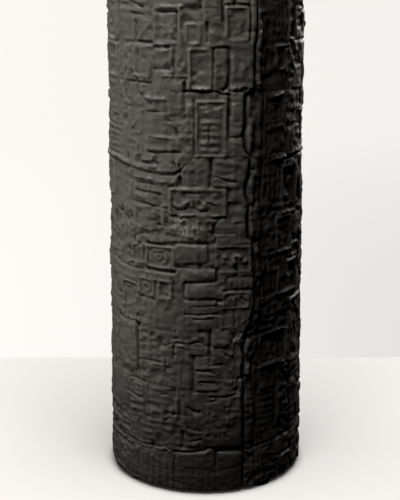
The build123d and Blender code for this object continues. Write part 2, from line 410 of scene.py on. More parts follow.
CUTS = (
    Stroke(((-47, 431.5), (-43, 430), (-38, 427)), -1.7, 2.0),
    Stroke(((-60, 430.5), (-50, 430)), -0.9),
    Stroke(((-47, 422.5), (-37, 421.5)), -1.3),
    Stroke(((-27, 424), (-16.4, 424)), -1.6, 2.0),
    Stroke(((-16.6, 424), (-16.8, 408)), -1.0, 1.8),
    Stroke(((-50, 366), (-42, 365.6), (-33, 365.8)), -1.9, 2.0),
    Stroke(((-30, 378), (-26, 378.6), (-21, 378.2)), -1.5, 2.0),
    Stroke(((2.4, 331), (2.2, 318)), -1.2, 1.3),
    Stroke(((-12, 367), (-11.4, 360)), -1.8, 2.0),
    Stroke(((-11.5, 360.8), (-7, 361.2), (3, 361), (6, 361), (9, 358.4), (13.4, 358)), -1.8, 1.7),
    Stroke(((13, 360.6), (19, 360), (22, 358.8), (27.4, 360.4)), -1.4, 1.5),
    Stroke(((9.8, 360.5), (11, 364), (12.4, 367)), -1.8),
    Stroke(((13.5, 353), (13.7, 340)), -2.0, 2.2),
    Stroke(((22.4, 356), (22.2, 346), (23, 338)), -1.8, 1.8),
    Stroke(((-34, 308), (-28, 307.8), (-22, 308.6), (-14, 309.6)), -1.9, 2.2),
    Stroke(((-53, 358), (-52.4, 352), (-49, 349)), -1.6, 2.0),
    Stroke(((-60, 337), (-59.5, 331)), -1.2),
    Stroke(((-34, 342.4), (-27, 342), (-22, 343)), -1.3),
    Stroke(((-6, 318), (-5.6, 308)), -1.8),
    Stroke(((18.2, 386), (19, 383.4)), -1.2, 1.3),
    Stroke(((20.4, 376), (21.4, 371)), -1.0, 1.3),
    Stroke(((-62, 323), (-59.4, 320), (-58.4, 315)), -1.4, 2.0),
    Stroke(((3, 303), (3.2, 295)), -2.0, 2.0),
    Stroke(((5, 290), (9, 288), (13, 285.4), (17, 284.2)), -1.3, 1.5),
    Stroke(((-14.4, 288), (-14, 281)), -1.3),
    Stroke(((-43, 280.6), (-34, 280.6), (-29, 280)), -1.2),
    Stroke(((-21, 280), (-18.6, 280.6)), -1.5, 2.0),
    Stroke(((-43, 274), (-34, 273.2), (-25, 272.4)), -1.4, 1.8),
    Stroke(((-46, 264), (-36, 263.4), (-30, 261), (-22, 260.6)), -1.7, 2.0),
    Stroke(((-60, 252.4), (-57, 252.6)), -1.8, 2.4),
    Stroke(((-13, 274.6), (-9, 275.2), (-4.5, 274.6)), -1.0, 1.2),
    Stroke(((-18.8, 269), (-18.6, 262.6), (-15.6, 260.6), (-12, 261), (-10, 263.4),
        (-9.4, 267.6)), -1.2, 1.4),
    Stroke(((-7.2, 267), (-6.6, 262.4), (-3.4, 259.8), (1, 260.2)), -1.2, 1.4),
    Stroke(((-3.4, 271), (0, 268), (4.4, 264.6)), -1.1, 1.3),
    Stroke(((13, 266), (12.6, 257), (14.8, 251)), -1.5, 1.8),
    Stroke(((-17.2, 255.2), (-15, 251.6), (-13.2, 254.4)), -1.5),
    Stroke(((-12, 255), (-8, 250.6)), -1.4, 1.5),
    Stroke(((-6, 242.6), (-5.6, 237)), -1.7, 1.7),
    Stroke(((4.4, 246), (5.2, 240.4)), -1.3, 1.4),
    Stroke(((5.8, 239.6), (16, 239.6)), -1.2),
    Stroke(((-28, 245.6), (-21.4, 244.4)), -1.2, 1.4),
    Stroke(((-44, 234), (-40, 236.4), (-35, 237)), -1.3, 1.8),
    Stroke(((-36, 228.4), (-31, 228.8), (-26.6, 228), (-21, 231), (-17, 231)), -1.6, 1.8),
    Stroke(((-11, 213.6), (0.6, 213.8)), -0.9, 1.1),
    Stroke(((-34.6, 205.6), (-27, 206.2), (-18, 205.8)), -2.0, 2.2),
    Stroke(((-70, 206.6), (-60, 204.2), (-50, 203.8), (-43, 203.2), (-38.4, 204.6)), -1.5, 1.8),
    Stroke(((-50.6, 219.6), (-47.6, 219)), -1.6, 2.0),
    Stroke(((-45, 223.4), (-42, 224.4)), -1.5, 2.0),
    Stroke(((3.6, 209.4), (5.6, 208), (6.2, 198)), -1.7),
    Stroke(((17.8, 212), (18, 206), (19.6, 204.8)), -1.6, 1.7),
    Stroke(((-7, 176.4), (6, 176.6)), -0.9, 1.1),
    Stroke(((-12, 168.8), (-4, 168.4), (6, 169)), -1.5, 1.5),
    Stroke(((-7, 164.2), (4, 164.2)), -1.1, 1.2),
    Stroke(((6.4, 182), (6.6, 176), (7.2, 170), (9.4, 167), (10.2, 158)), -1.5),
    Stroke(((16, 172), (16.2, 158)), -1.6),
    Stroke(((20, 182.4), (22, 181.4), (24, 179)), -1.4, 1.5),
    Stroke(((10.6, 173), (16, 172.8), (24, 173.4)), -0.9, 1.1),
    Stroke(((-39, 180.8), (-31.6, 180.6))),
    Stroke(((-55, 186.8), (-50, 187), (-45, 186.6)), -1.4, 1.8),
    Stroke(((-43.2, 152.8), (-42.6, 152.6)), -2.4, 3.4),
    Stroke(((-43, 121), (-36, 121.4), (-31, 121.6), (-27, 120.8)), -1.5),
    Stroke(((-41, 137.6), (-36.4, 138)), -1.3),
    Stroke(((-17, 141.8), (-12.4, 141.6)), -2.0, 2.0),
    Stroke(((-28, 137.4), (-24, 137.6), (-20, 140.6)), -1.0, 1.2),
    Stroke(((-27, 139.6), (-20.6, 136)), -0.8, 1.2),
    Stroke(((-18, 139), (-18.8, 134), (-18.6, 127)), -1.4, 1.4),
    Stroke(((-15, 138), (-10, 134.6)), -1.0, 1.2),
    Stroke(((-8, 141.6), (-4, 143), (-1.6, 141.8)), -1.2, 1.2),
    Stroke(((2.6, 141), (4.6, 138), (11, 137.8), (13.6, 141), (16, 147.4))),
    Stroke(((10.8, 132.4), (12.2, 130)), -1.7, 1.8),
    Stroke(((15.8, 149), (16.4, 145)), -2.0, 2.0),
    Stroke(((16, 138), (16.4, 132)), -1.6, 1.8),
    Stroke(((20.4, 141), (21, 134)), -1.6, 1.8),
    Stroke(((2, 121.4), (9, 121.8)), -1.4, 1.5),
    Stroke(((-5, 117.4), (-1, 116.4), (1.4, 116.8), (5, 114.4)), -1.6),
    Stroke(((-3.4, 107), (0, 106.8), (5, 106)), -1.5, 1.4),
    Stroke(((-6.6, 114), (-6.8, 102)), -1.1, 1.4),
    Stroke(((16, 118), (16.8, 113), (15.6, 104)), -1.4, 1.4),
    Stroke(((3, 93), (9, 92.4), (13, 93), (17.4, 94.8)), -1.6, 1.8),
    Stroke(((1.6, 88.6), (6, 90.2)), -1.2, 1.5),
    Stroke(((11.4, 83), (11.2, 79), (12.2, 75.6)), -1.2, 1.3),
    Stroke(((11.4, 83.4), (14.6, 83.8)), -1.0, 1.2),
    Stroke(((13.6, 81), (13.4, 75)), -0.9, 1.1),
    Stroke(((2, 78), (2.4, 73)), -1.0, 1.4),
    Stroke(((6, 57.6), (5.6, 54.4)), -1.4, 1.5),
    Stroke(((8.2, 59), (8.4, 55)), -1.3, 1.3),
    Stroke(((10.4, 59.4), (11.6, 54.6)), -1.5),
    Stroke(((13, 60.4), (15.4, 60)), -1.0, 1.3),
    Stroke(((-9.8, 82.4), (-8.6, 79.6), (-6.4, 78.4), (-4, 78.6)), -2.2, 3.0),
    Stroke(((-15.6, 92), (-15.2, 80), (-15.6, 70)), -1.3, 2.0),
    Stroke(((-22, 96.6), (-17.4, 97)), -1.3),
    Stroke(((-27, 92.4), (-23, 92.8))),
    Stroke(((-48, 97.4), (-47.6, 85), (-44, 83), (-40.6, 84.4)), -1.2, 1.8),
    Stroke(((-46.6, 68), (-45.4, 64.6)), -1.8, 2.6),
    Stroke(((-60, 67.4), (-57.8, 67.8)), -1.6, 2.6),
    Stroke(((-24, 68.6), (-21, 71.6)), -1.2, 1.8),
    Stroke(((-14.4, 60), (-13.6, 50)), -1.3),
    Stroke(((-8, 51), (-3, 52.6)), -1.2),
    Stroke(((-7, 61.4), (-1.4, 61)), -0.9, 1.2),
    Stroke(((5.5, 40), (5.4, 28)), -1.2, 1.3),
    Stroke(((-17.6, 38), (-18.6, 30), (-18.2, 14)), -1.1, 1.5),
)  # fmt: skip

RIDGES = (
    Stroke(((-61, 434), (-61.4, 416), (-60.6, 397)), 0.9, 2.6),
    Stroke(((-30, 428.6), (-20, 428.8), (-12.6, 428.4)), 1.2, 2.6),
    Stroke(((-14.6, 428), (-14.4, 397)), 1.0, 3.2),
    Stroke(((-42, 416), (-32.4, 416)), 1.0, 2.4),
    Stroke(((-37, 396.2), (-31, 396)), 1.0, 1.8),
    Stroke(((-26, 414), (-20, 407)), 0.7, 1.8),
    Stroke(((0.8, 416), (9, 416.4)), 0.7, 1.8),
    Stroke(((-29, 392.8), (-22.4, 392.4)), 0.9, 2.2),
    Stroke(((-45, 371), (-34, 370.8)), 0.9, 2.6),
    Stroke(((-25, 373), (-16, 373.4), (-10, 372.8)), 0.9, 2.0),
    Stroke(((-9.2, 394), (-9, 364), (-8, 363.4), (3.4, 363.4)), 1.0, 2.4),
    Stroke(((13, 363.6), (20, 363.4), (27, 363.4)), 0.8, 2.2),
    Stroke(((-36, 354.4), (-30, 353.6), (-23.6, 354)), 1.2, 3.6),
    Stroke(((-34, 321.6), (-27, 320.8), (-21, 321)), 0.9, 1.8),
    Stroke(((-72, 299.6), (-56, 298.6), (-40, 296.8), (-30, 295.4)), 1.1, 3.0),
    Stroke(((-45, 285.8), (-36, 284.6), (-17.4, 284)), 1.1, 2.8),
    Stroke(((47, 299.6), (58, 301.6), (73, 302)), 1.1, 3.2),
    Stroke(((36, 341), (37, 350), (42, 353), (52, 355.4)), 0.9, 2.2),
    Stroke(((30, 113.4), (44, 113.6), (60, 112.2)), 1.1, 2.6),
    Stroke(((59.4, 146), (59, 128), (58, 116)), 1.1, 3.0),
    Stroke(((49.8, 102), (50, 80), (49.6, 60)), 1.1, 3.6),
    Stroke(((30, 187), (33.6, 194)), 1.0),
    Stroke(((-15, 124), (-14.6, 108), (-13.6, 95), (-17, 88), (-17.4, 66), (-12.4, 65)), 0.8, 2.2),
    Stroke(((-41.6, 190), (-42, 156)), 0.8, 3.0),
    Stroke(((-50, 71.6), (-60, 70.6)), 0.8, 2.2),
)  # fmt: skip

SEAM_LUMPS = (
    plate(29, 33.6, 360, 434, 0.5, 0.9, corner=3),
    plate(31.2, 35, 331, 357, 0.3, 1.1, corner=3),
    plate(22.8, 26.2, 337, 357.5, 0.5, corner=2.5),
    plate(23, 28.4, 308, 332.5, 0.4, 1.5, corner=4, turn=-3),
    plate(32, 34.6, 308, 328, -0.2, 1.2, corner=2),
    plate(30.6, 34.4, 294, 311, -0.4, 1.2, corner=2.4, turn=14),
    plate(23.4, 29.4, 262, 288, 0.3, 1.5, corner=4, turn=-4),
    plate(34, 37.4, 268, 292, -0.5, 1.0, corner=2.5),
    plate(25.2, 27.4, 232, 256.5, 0.2, 0.9, corner=1.6),
    plate(28.4, 30.6, 228, 256, -0.1, corner=1.6),
    plate(32.6, 35.4, 232, 255, 0.1, 1.0, corner=1.8, turn=5),
    plate(29.2, 32, 218.4, 226, 0.3, 1.1, corner=3.5),
    plate(30, 34.4, 201, 220, 0.3, 1.3, corner=3.4),
    plate(30.4, 34, 165, 176, 0.1, 1.2, corner=3),
    crumpled(23, 33, 142, 164, 0.0, 1.2, turn=20),
    plate(22.4, 28, 124, 143.5, 0.4, 1.2, corner=4.5),
    plate(29, 32.4, 127, 143, 0.1, 1.0, corner=3),
    plate(23.6, 27, 106, 123, 0.3, 1.0, corner=2.6),
    plate(22.6, 26, 76, 103, -0.1, 1.0, corner=2.4),
    plate(26, 30, 60, 92, 0.0, 1.1, corner=3, turn=6),
    plate(23, 28, 44, 62, 0.0, 0.9, corner=3),
)  # fmt: skip


def smooth(edge: Array) -> Array:
    """Soft step from 0 to 1 as its value goes from 0 to 1."""
    held = np.clip(edge, 0.0, 1.0)
    return held * held * (3.0 - 2.0 * held)


def bump(offset: Array, half: float | Array) -> Array:
    """Rounded ridge of height 1 about 0 that has faded at twice its half width."""
    return np.exp(-((offset / half) ** 2))


def read(field: Array, low: Array, left: Array, right: Array, over: Array, up: Array) -> Array:
    """Reads a field between its points.

    Args:
        field: Values by row and column.
        low: The row below each place.
        left: The column to its left.
        right: The column to its right.
        over: How far the place is from left to right, 0 to 1.
        up: How far it is to the next row.

    Returns:
        The field's value at each place.
    """
    below = field[low, left] * (1 - over) + field[low, right] * over
    above = field[low + 1, left] * (1 - over) + field[low + 1, right] * over
    return below * (1 - up) + above * up


class Relief:
    """The height of the clay's outside over the plain wall, all round the vase.

    It is kept on a fine sheet of azimuth and level, which closes round the vase. Sizes are millimetres.
    """

    step: float = 0.6
    margin: float = 4.0  # how far the sheet runs on past the vase's ends
    patch_smallest: float = 10.0
    patch_largest: float = 34.0
    later_blocks: int = 60  # random blocks pressed over the patchwork
    carry: float = 0.22  # share of the old relief that shows under a block
    bite_depth: float = 1.6
    strength: float = 1.3
    settle: float = -0.55
    deepest: float = -6.8
    softness: float = 0.4  # how gently the relief meets its deepest
    crumple_depth: float = 0.45
    wrinkle_depth: float = 0.27
    wipe: tuple[float, ...] = (0.25, 0.5, 0.25)  # what neighbours count for under a wiping hand
    passes: int = 2
    crack_depth: float = 3.6
    heel_depth: float = 1.3
    lift: float = 1.6  # before the crack
    drop: float = 1.3  # just behind it
    tuck: float = 3.3  # further behind it
    band_depth: Point = (1.9, 1.8)  # least, and how much more where it gapes
    slab_depth: Point = (0.35, 0.95)
    hollow_reach: float = 3.2

    def __init__(self, measures: Measures, seed: int = 20) -> None:
        """Lays out the blank slab.

        Args:
            measures: Sizes of the vase.
            seed: Start of every random draw.
        """
        self.rng = np.random.default_rng(seed)
        self.top = measures.height / MM
        self.girth = 2.0 * math.pi * measures.roll_radius / MM
        self.columns = round(self.girth / self.step)
        self.rows = round((self.top + 2 * self.margin) / self.step)
        self.per_degree = self.girth / FULL_TURN
        self.arc = (np.arange(self.columns) / self.columns - 0.5) * self.girth
        self.level = np.arange(self.rows) * self.step - self.margin
        arc, level = np.meshgrid(self.arc, self.level)
        self.warped_arc = arc + 0.8 * self.noise(26, 26) + 0.4 * self.noise(9, 9)
        self.warped_level = level + 0.8 * self.noise(26, 26) + 0.4 * self.noise(9, 9)
        self.crumple = self.folds()
        self.wrinkle = self.wrinkles()
        self.height = np.zeros_like(arc)

    def noise(self, cell_arc: float, cell_level: float) -> Array:
        """A smooth random field that closes round the vase.

        Args:
            cell_arc: Size of its features round the vase, in millimetres.
            cell_level: Size of its features up the vase.

        Returns:
            Values about 0, mostly within 1, on the whole sheet.
        """
        across = max(3, round(self.girth / cell_arc))
        up = int((self.top + 16.0) / cell_level) + 3
        lattice = self.rng.uniform(-1.0, 1.0, (up, across))
        x = (self.arc / self.girth + 0.5) * across
        y = (self.level - self.level[0]) / cell_level
        left, low = np.floor(x).astype(int), np.floor(y).astype(int)
        over, rise = smooth(x - left), smooth(y - low)[:, None]
        return read(lattice, low[:, None], left % across, (left + 1) % across, over, rise)

    def folds(self) -> Array:
        """Creased clay: rounded swellings between sharper folds, about 0."""
        return 0.75 * self.creased(7.5, 6.0) + 0.45 * self.creased(4.0, 3.2)

    def creased(self, cell_arc: float, cell_level: float) -> Array:
        """A random field of rounded swellings with sharp folds between them, about 0."""
        return 0.65 - 2.2 * np.abs(self.noise(cell_arc, cell_level))

    def wrinkles(self) -> Array:
        """Fine drag marks: lying over most of the vase, upright where the slab's end was pulled round.

        Returns:
            Their height about 0, mostly within 1.
        """
        azimuth = self.warped_arc / self.per_degree
        behind_seam = smooth((azimuth - 31) / 5) * smooth((92 - azimuth) / 20)
        stray = smooth(2.2 * self.noise(55, 60) - 0.35) * smooth((np.abs(azimuth) - 40) / 20)
        upright = np.maximum(behind_seam, stray)
        lying = 0.75 * self.creased(8.0, 3.6) + 0.5 * self.creased(4.0, 2.2) + 0.5 * self.creased(4.5, 9.0)
        standing = 0.8 * self.creased(4.4, 15.0) + 0.6 * self.creased(2.6, 8.0) + 1.5 * self.creased(6.5, 8.0)
        return (lying + (standing - lying) * upright) * (0.9 + 0.5 * self.noise(24, 20))

    def window(self, left: float, right: float, low: float, high: float) -> tuple[Array, Array]:
        """Rows and columns of the sheet that a patch covers.

        Args:
            left: Left end, in millimetres round the vase.
            right: Right end.
            low: Lowest level, in millimetres.
            high: Highest level.

        Returns:
            An index of rows and one of columns, ready to be used together.
        """
        first = int(math.floor((left / self.girth + 0.5) * self.columns))
        last = int(math.ceil((right / self.girth + 0.5) * self.columns)) + 1
        bottom = max(0, int((low - self.level[0]) / self.step))
        top = min(self.rows, int((high - self.level[0]) / self.step) + 2)
        return np.ix_(np.arange(bottom, max(top, bottom + 1)), np.arange(first, last) % self.columns)

    def near(self, where: tuple[Array, Array], arc: float) -> Array:
        """Distance round the vase from an arc position, the short way, over a window."""
        away = self.warped_arc[where] - arc
        return (away + self.girth / 2) % self.girth - self.girth / 2

    def pattern(self, stamp: Stamp, u: Array, v: Array, inset: Array, where: tuple[Array, Array]) -> Array:
        """What the block's own face leaves inside its outline.

        Args:
            stamp: The block.
            u: Distance from its middle, across.
            v: Distance from its middle, up.
            inset: Distance inside its outline.
            where: The window that it covers.

        Returns:
            The pattern's height before the stamp's depth is applied.
        """
        wide = (stamp.right - stamp.left) * self.per_degree
        tall = stamp.high - stamp.low
        crumple = self.crumple[where]
        waves = 2 * math.pi * stamp.count
        round_out = np.hypot(u / (wide / 2), v / (tall / 2))
        rings = np.minimum(round_out + 0.16 * crumple, 1.2)
        faces: dict[Motif, Callable[[], Array]] = {
            M.PLATE: lambda: 1.0 - round_out**2 + 0.25 * crumple,
            M.FRAME: lambda: 1.5 * bump(inset - 1.6, 1.4) - 0.6 + 0.6 * crumple * smooth(inset / 5 - 0.6),
            M.BARS: lambda: self.rows_of(v, u, tall, wide, stamp.count),
            M.COMB: lambda: self.rows_of(u, v, wide, tall, stamp.count),
            M.NESTED: lambda: np.cos(waves * inset / (min(wide, tall) / 2)) * 0.6,
            M.OVALS: lambda: -np.cos(waves * rings) * (0.6 + 0.25 * crumple),
            M.CURLS: lambda: self.curls(u, v, wide, tall, stamp.count),
            M.GRID: lambda: 0.4 * np.cos(waves * u / wide) + 0.4 * np.cos(waves * v / tall),
            M.RISING: lambda: bump(u * tall / wide - v, 2.6) + 0.3 * crumple - 0.3,
            M.FALLING: lambda: bump(u * tall / wide + v, 2.6) + 0.3 * crumple - 0.3,
            M.CRUMPLED: lambda: crumple,
        }
        return faces[stamp.motif]()

    def rows_of(self, along: Array, across: Array, span: float, breadth: float, count: int) -> Array:
        """Rounded bars side by side, uneven in height, place and length.

        Args:
            along: Distance from the middle in the direction that the bars repeat.
            across: Distance from the middle along each bar.
            span: Size of the block in the first direction.
            breadth: Its size in the second.
            count: How many bars.

        Returns:
            The bars' height about their mean.
        """
        pitch = span / count
        total = np.full_like(along, -0.5)
        for index in range(count):
            middle = (index + 0.5) * pitch - span / 2 + self.rng.uniform(-0.12, 0.12) * pitch
            lean = self.rng.uniform(-0.05, 0.05)
            start = -breadth / 2 * self.rng.uniform(0.72, 1.0)
            end = breadth / 2 * self.rng.uniform(0.72, 1.0)
            ends = smooth((across - start) / 2.5) * smooth((end - across) / 2.5)
            high = self.rng.uniform(0.75, 1.25)
            total += high * ends * bump(along - middle - lean * across, 0.36 * pitch)
        return total

    def curls(self, u: Array, v: Array, wide: float, tall: float, count: int) -> Array:
        """Open loops of clay, each a ring with a gap.

        Args:
            u: Distance from the middle, across.
            v: Distance from the middle, up.
            wide: Width of the block.
            tall: Height of the block.
            count: How many loops.

        Returns:
            The loops' height about their mean.
        """
        total = np.full_like(u, -0.25)
        for index in range(count):
            cx = ((index + 0.5) / count - 0.5) * wide * 0.85
            cy = self.rng.uniform(-0.22, 0.22) * tall
            size = self.rng.uniform(0.2, 0.34) * min(wide / count * 1.6, tall)
            angle = np.arctan2(v - cy, u - cx) + self.rng.uniform(0, 2 * math.pi)
            gap = smooth(1.2 + 1.5 * np.cos(angle))
            total += gap * bump(np.hypot(u - cx, (v - cy) * 0.85) - size, 1.2)
        return total

    def press(self, stamp: Stamp) -> None:
        """Presses one block into the slab."""
        wide = (stamp.right - stamp.left) * self.per_degree
        tall = stamp.high - stamp.low
        middle = (stamp.left + stamp.right) / 2 * self.per_degree
        level = (stamp.low + stamp.high) / 2
        reach = abs(math.sin(math.radians(stamp.turn))) * max(wide, tall) / 2 + 3.0
        left, right = middle - wide / 2 - reach, middle + wide / 2 + reach
        where = self.window(left, right, stamp.low - reach, stamp.high + reach)
        du, dv = self.near(where, middle), self.warped_level[where] - level
        cos, sin = math.cos(math.radians(stamp.turn)), math.sin(math.radians(stamp.turn))
        u, v = du * cos + dv * sin, dv * cos - du * sin
        corner = min(stamp.corner, wide / 2, tall / 2)
        qu, qv = np.abs(u) - wide / 2 + corner, np.abs(v) - tall / 2 + corner
        beyond = np.hypot(np.maximum(qu, 0), np.maximum(qv, 0)) + np.minimum(np.maximum(qu, qv), 0)
        inset = corner - beyond
        cover = smooth(inset / 1.3 + 0.5)
        old = self.height[where]
        face = stamp.level + stamp.depth * self.pattern(stamp, u, v, inset, where)
        new = old + cover * (face + self.carry * old - old)
        sides = {"l": -u - wide / 2, "r": u - wide / 2, "t": v - tall / 2, "b": -v - tall / 2}
        spans = {"l": (v, tall), "r": (v, tall), "t": (u, wide), "b": (u, wide)}
        for side in stamp.bite:
            run, length = spans[side]
            ends = smooth((length / 2 + 0.6 - np.abs(run)) / 1.5)
            new = new - self.bite_depth * ends * bump(sides[side] - 0.3, 0.95)
        self.height[where] = new

    def draw(self, stroke: Stroke) -> None:
        """Cuts or raises one line."""
        points = [(azimuth * self.per_degree, level) for azimuth, level in stroke.points]
        arcs, levels = [p[0] for p in points], [p[1] for p in points]
        pad = stroke.width * 2 + 2
        where = self.window(min(arcs) - pad, max(arcs) + pad, min(levels) - pad, max(levels) + pad)
        nearest = np.full(self.height[where].shape, np.inf)
        for (a0, z0), (a1, z1) in zip(points[:-1], points[1:]):
            u, v = self.near(where, a0), self.warped_level[where] - z0
            length = math.hypot(a1 - a0, z1 - z0)
            along = np.clip((u * (a1 - a0) + v * (z1 - z0)) / length**2, 0, 1)
            nearest = np.minimum(nearest, np.hypot(u - along * (a1 - a0), v - along * (z1 - z0)))
        uneven = 1.0 + 0.25 * self.crumple[where]
        self.height[where] += stroke.depth * uneven * bump(nearest, stroke.width * 0.5)

    def patches(self, left: float, right: float, low: float, high: float) -> list[Stamp]:
        """Divides a stretch of the slab into blocks at random, as a maker fills what is left.

        Args:
            left: Left azimuth.
            right: Right azimuth.
            low: Lowest level.
            high: Highest level.

        Returns:
            One stamp for each block.
        """
        wide, tall = (right - left) * self.per_degree, high - low
        longest = max(wide, tall)
        if longest < self.patch_largest and (longest < 2.2 * self.patch_smallest or self.rng.random() < 0.45):
            return [self.random_stamp(left, right, low, high)]
        share = self.rng.uniform(0.32, 0.68)
        if wide * self.rng.uniform(0.7, 1.4) > tall:
            cut = left + (right - left) * share
            return self.patches(left, cut, low, high) + self.patches(cut, right, low, high)
        cut = low + tall * share
        return self.patches(left, right, low, cut) + self.patches(left, right, cut, high)

    def random_stamp(self, left: float, right: float, low: float, high: float) -> Stamp:
        """A block with a motif and edges drawn at random.

        Args:
            left: Left azimuth.
            right: Right azimuth.
            low: Lowest level.
            high: Highest level.

        Returns:
            The stamp.
        """
        kinds = list(MOTIF_ODDS)
        motif = kinds[self.rng.choice(len(kinds), p=list(MOTIF_ODDS.values()))]
        wide, tall = (right - left) * self.per_degree, high - low
        run = {M.BARS: tall, M.COMB: wide}.get(motif, 9.0)
        bite = "".join(side for side in "lrtb" if self.rng.random() < 0.22)
        return Stamp(
            motif,
            left,
            right,
            low,
            high,
            level=self.rng.uniform(-0.45, 0.6),
            depth=self.rng.uniform(0.5, 0.9),
            count=max(1, round(run / self.rng.uniform(5.0, 8.0))),
            turn=self.rng.uniform(-2.5, 2.5),
            corner=self.rng.uniform(1.0, 3.5),
            bite=bite,
        )

    def work(self) -> Relief:
        """Does all the work on the slab, from the random patchwork to the last cut.

        Returns:
            The finished relief.
        """
        for stamp in self.patches(-180, 180, -6, self.top + 6):
            self.press(stamp)
        for _ in range(self.later_blocks):
            azimuth, level = self.rng.uniform(-180, 180), self.rng.uniform(10, self.top - 30)
            width, height = self.rng.uniform(9, 24), self.rng.uniform(10, 34)
            self.press(self.random_stamp(azimuth, azimuth + width / self.per_degree, level, level + height))
        for group in (RIGHT_STAMPS, UPPER_STAMPS, MIDDLE_STAMPS, LOWER_STAMPS, FOOT_STAMPS, SEAM_LUMPS):
            for stamp in group:
                self.press(stamp)
        self.height *= self.strength
        calm = 0.55 + 0.45 * smooth((self.level - 60) / 90)[:, None]
        self.height += self.crumple_depth * calm * self.crumple + self.wrinkle_depth * calm * self.wrinkle
        for _ in range(self.passes):
            self.height = self.averaged(self.height, self.wipe)
        for stroke in RIDGES + CUTS:
            self.draw(stroke)
        self.open_joints()
        self.height += 0.5 * self.noise(70, 60) + 0.28 * self.noise(24, 20) + 0.14 * self.noise(2.2, 1.7)
        above_floor = (self.height + self.settle - self.deepest) / self.softness
        self.height = self.deepest + np.logaddexp(0.0, above_floor) * self.softness
        self.hollow = self.height - self.averaged(self.height, self.bell(self.hollow_reach))
        return self

    def bell(self, reach: float) -> list[float]:
        """Weights that count nearer places for more, out to about twice their reach, and add up to 1."""
        taps = round(2.2 * reach / self.step)
        weights = [math.exp(-((tap * self.step / reach) ** 2)) for tap in range(-taps, taps + 1)]
        return [weight / sum(weights) for weight in weights]

    def averaged(self, field: Array, weights: Sequence[float]) -> Array:
        """A field averaged over its neighbours, round the vase and up it.

        Args:
            field: The field.
            weights: What each neighbour counts for, in order, with the place itself in the middle.

        Returns:
            The averaged field.
        """
        half = len(weights) // 2
        field = sum(weight * np.roll(field, tap - half, axis=1) for tap, weight in enumerate(weights))
        padded = np.pad(field, ((half, half), (0, 0)), mode="edge")
        return sum(weight * padded[tap : tap + self.rows] for tap, weight in enumerate(weights))

    def open_joints(self) -> None:
        """Opens the upright seam and the level joints, and lets the slab's end draw in behind the seam."""
        azimuth = self.warped_arc / self.per_degree
        ragged = 1.0 + 0.3 * self.crumple
        past = azimuth - SEAM_CRACK.at(self.level)[:, None]
        self.open_seam(azimuth, past * self.per_degree, ragged)
        self.draw_in(azimuth, past)
        self.open_level_joints(azimuth, ragged)

    def open_seam(self, azimuth: Array, crack: Array, ragged: Array) -> None:
        """Cuts the seam's crack and heel, and breaks up the clay between them.

        Args:
            azimuth: Azimuths of the sheet.
            crack: Distance past the crack.
            ragged: Unevenness of a torn edge, about 1.
        """
        level = self.warped_level
        heel = (azimuth - SEAM_HEEL.at(self.level)[:, None]) * self.per_degree
        gaping = smooth((level - 235) / 30) * smooth((350 - level) / 30)
        wide = 1.35 + 0.5 * self.noise(14, 11) + 0.7 * gaping
        cut = self.crack_depth * ragged * bump(crack - 0.4, wide)
        self.height -= cut + self.heel_depth * ragged * bump(heel, 1.1)
        strip = smooth(crack / 2.5) * smooth((6.5 - crack / self.per_degree) / 2.0)
        self.height += strip * (0.9 * self.noise(5.5, 9) + 0.7 * self.noise(3.2, 4.5))

    def draw_in(self, azimuth: Array, past: Array) -> None:
        """Lifts the clay before the crack, and drops it and draws it in behind.

        Args:
            azimuth: Azimuths of the sheet.
            past: Degrees past the crack.
        """
        above_foot = smooth((self.warped_level - 15) / 35)
        self.height += self.lift * above_foot * np.where(past < 0, smooth(1 + past / 17), 0)
        near_seam = smooth(past * self.per_degree / 2.0) * (1.0 - smooth((past - 4) / 12))
        falling_away = smooth(past / 15) * (1.0 - smooth((azimuth - 50) / 30))
        self.height -= above_foot * (self.drop * near_seam + self.tuck * falling_away)

    def open_level_joints(self, azimuth: Array, ragged: Array) -> None:
        """Cuts the joints over the foot band and half way up, and raises a ledge over the second.

        Args:
            azimuth: Azimuths of the sheet.
            ragged: Unevenness of a torn edge, about 1.
        """
        around = self.arc / self.per_degree
        band = self.warped_level - BAND_LINE.at(around, FULL_TURN)[None, :]
        strong = smooth((azimuth - 4) / 3) * smooth((23 - azimuth) / 2)
        least, more = self.band_depth
        self.height -= (least + more * strong) * ragged * bump(band - 0.9 * strong, 1.1 + 1.1 * strong)
        slab = self.warped_level - SLAB_LINE.at(around, FULL_TURN)[None, :]
        seen = 1.0 - smooth((azimuth + 17) / 8) * smooth((47 - azimuth) / 4)
        least, more = self.slab_depth
        self.height -= (least + more * seen) * ragged * bump(slab, 1.15)
        self.height += 0.8 * seen * ragged * bump(slab - 3.0, 1.8)

    def sample(self, azimuth: Array, level: Array, hollow: bool = False) -> Array:
        """Reads the relief, or how far it stands over or lies under its surroundings.

        Args:
            azimuth: Azimuths in degrees.
            level: Heights in millimetres.
            hollow: Whether the second is wanted.

        Returns:
            The value there, in millimetres.
        """
        x = ((azimuth / FULL_TURN + 0.5) % 1.0) * self.columns
        y = np.clip((level - self.level[0]) / self.step, 0, self.rows - 1.001)
        left, low = np.floor(x).astype(int), np.floor(y).astype(int)
        field = self.hollow if hollow else self.height
        return read(field, low, left % self.columns, (left + 1) % self.columns, x - left, y - low)


# ---- Node trees ----------------------------------------------


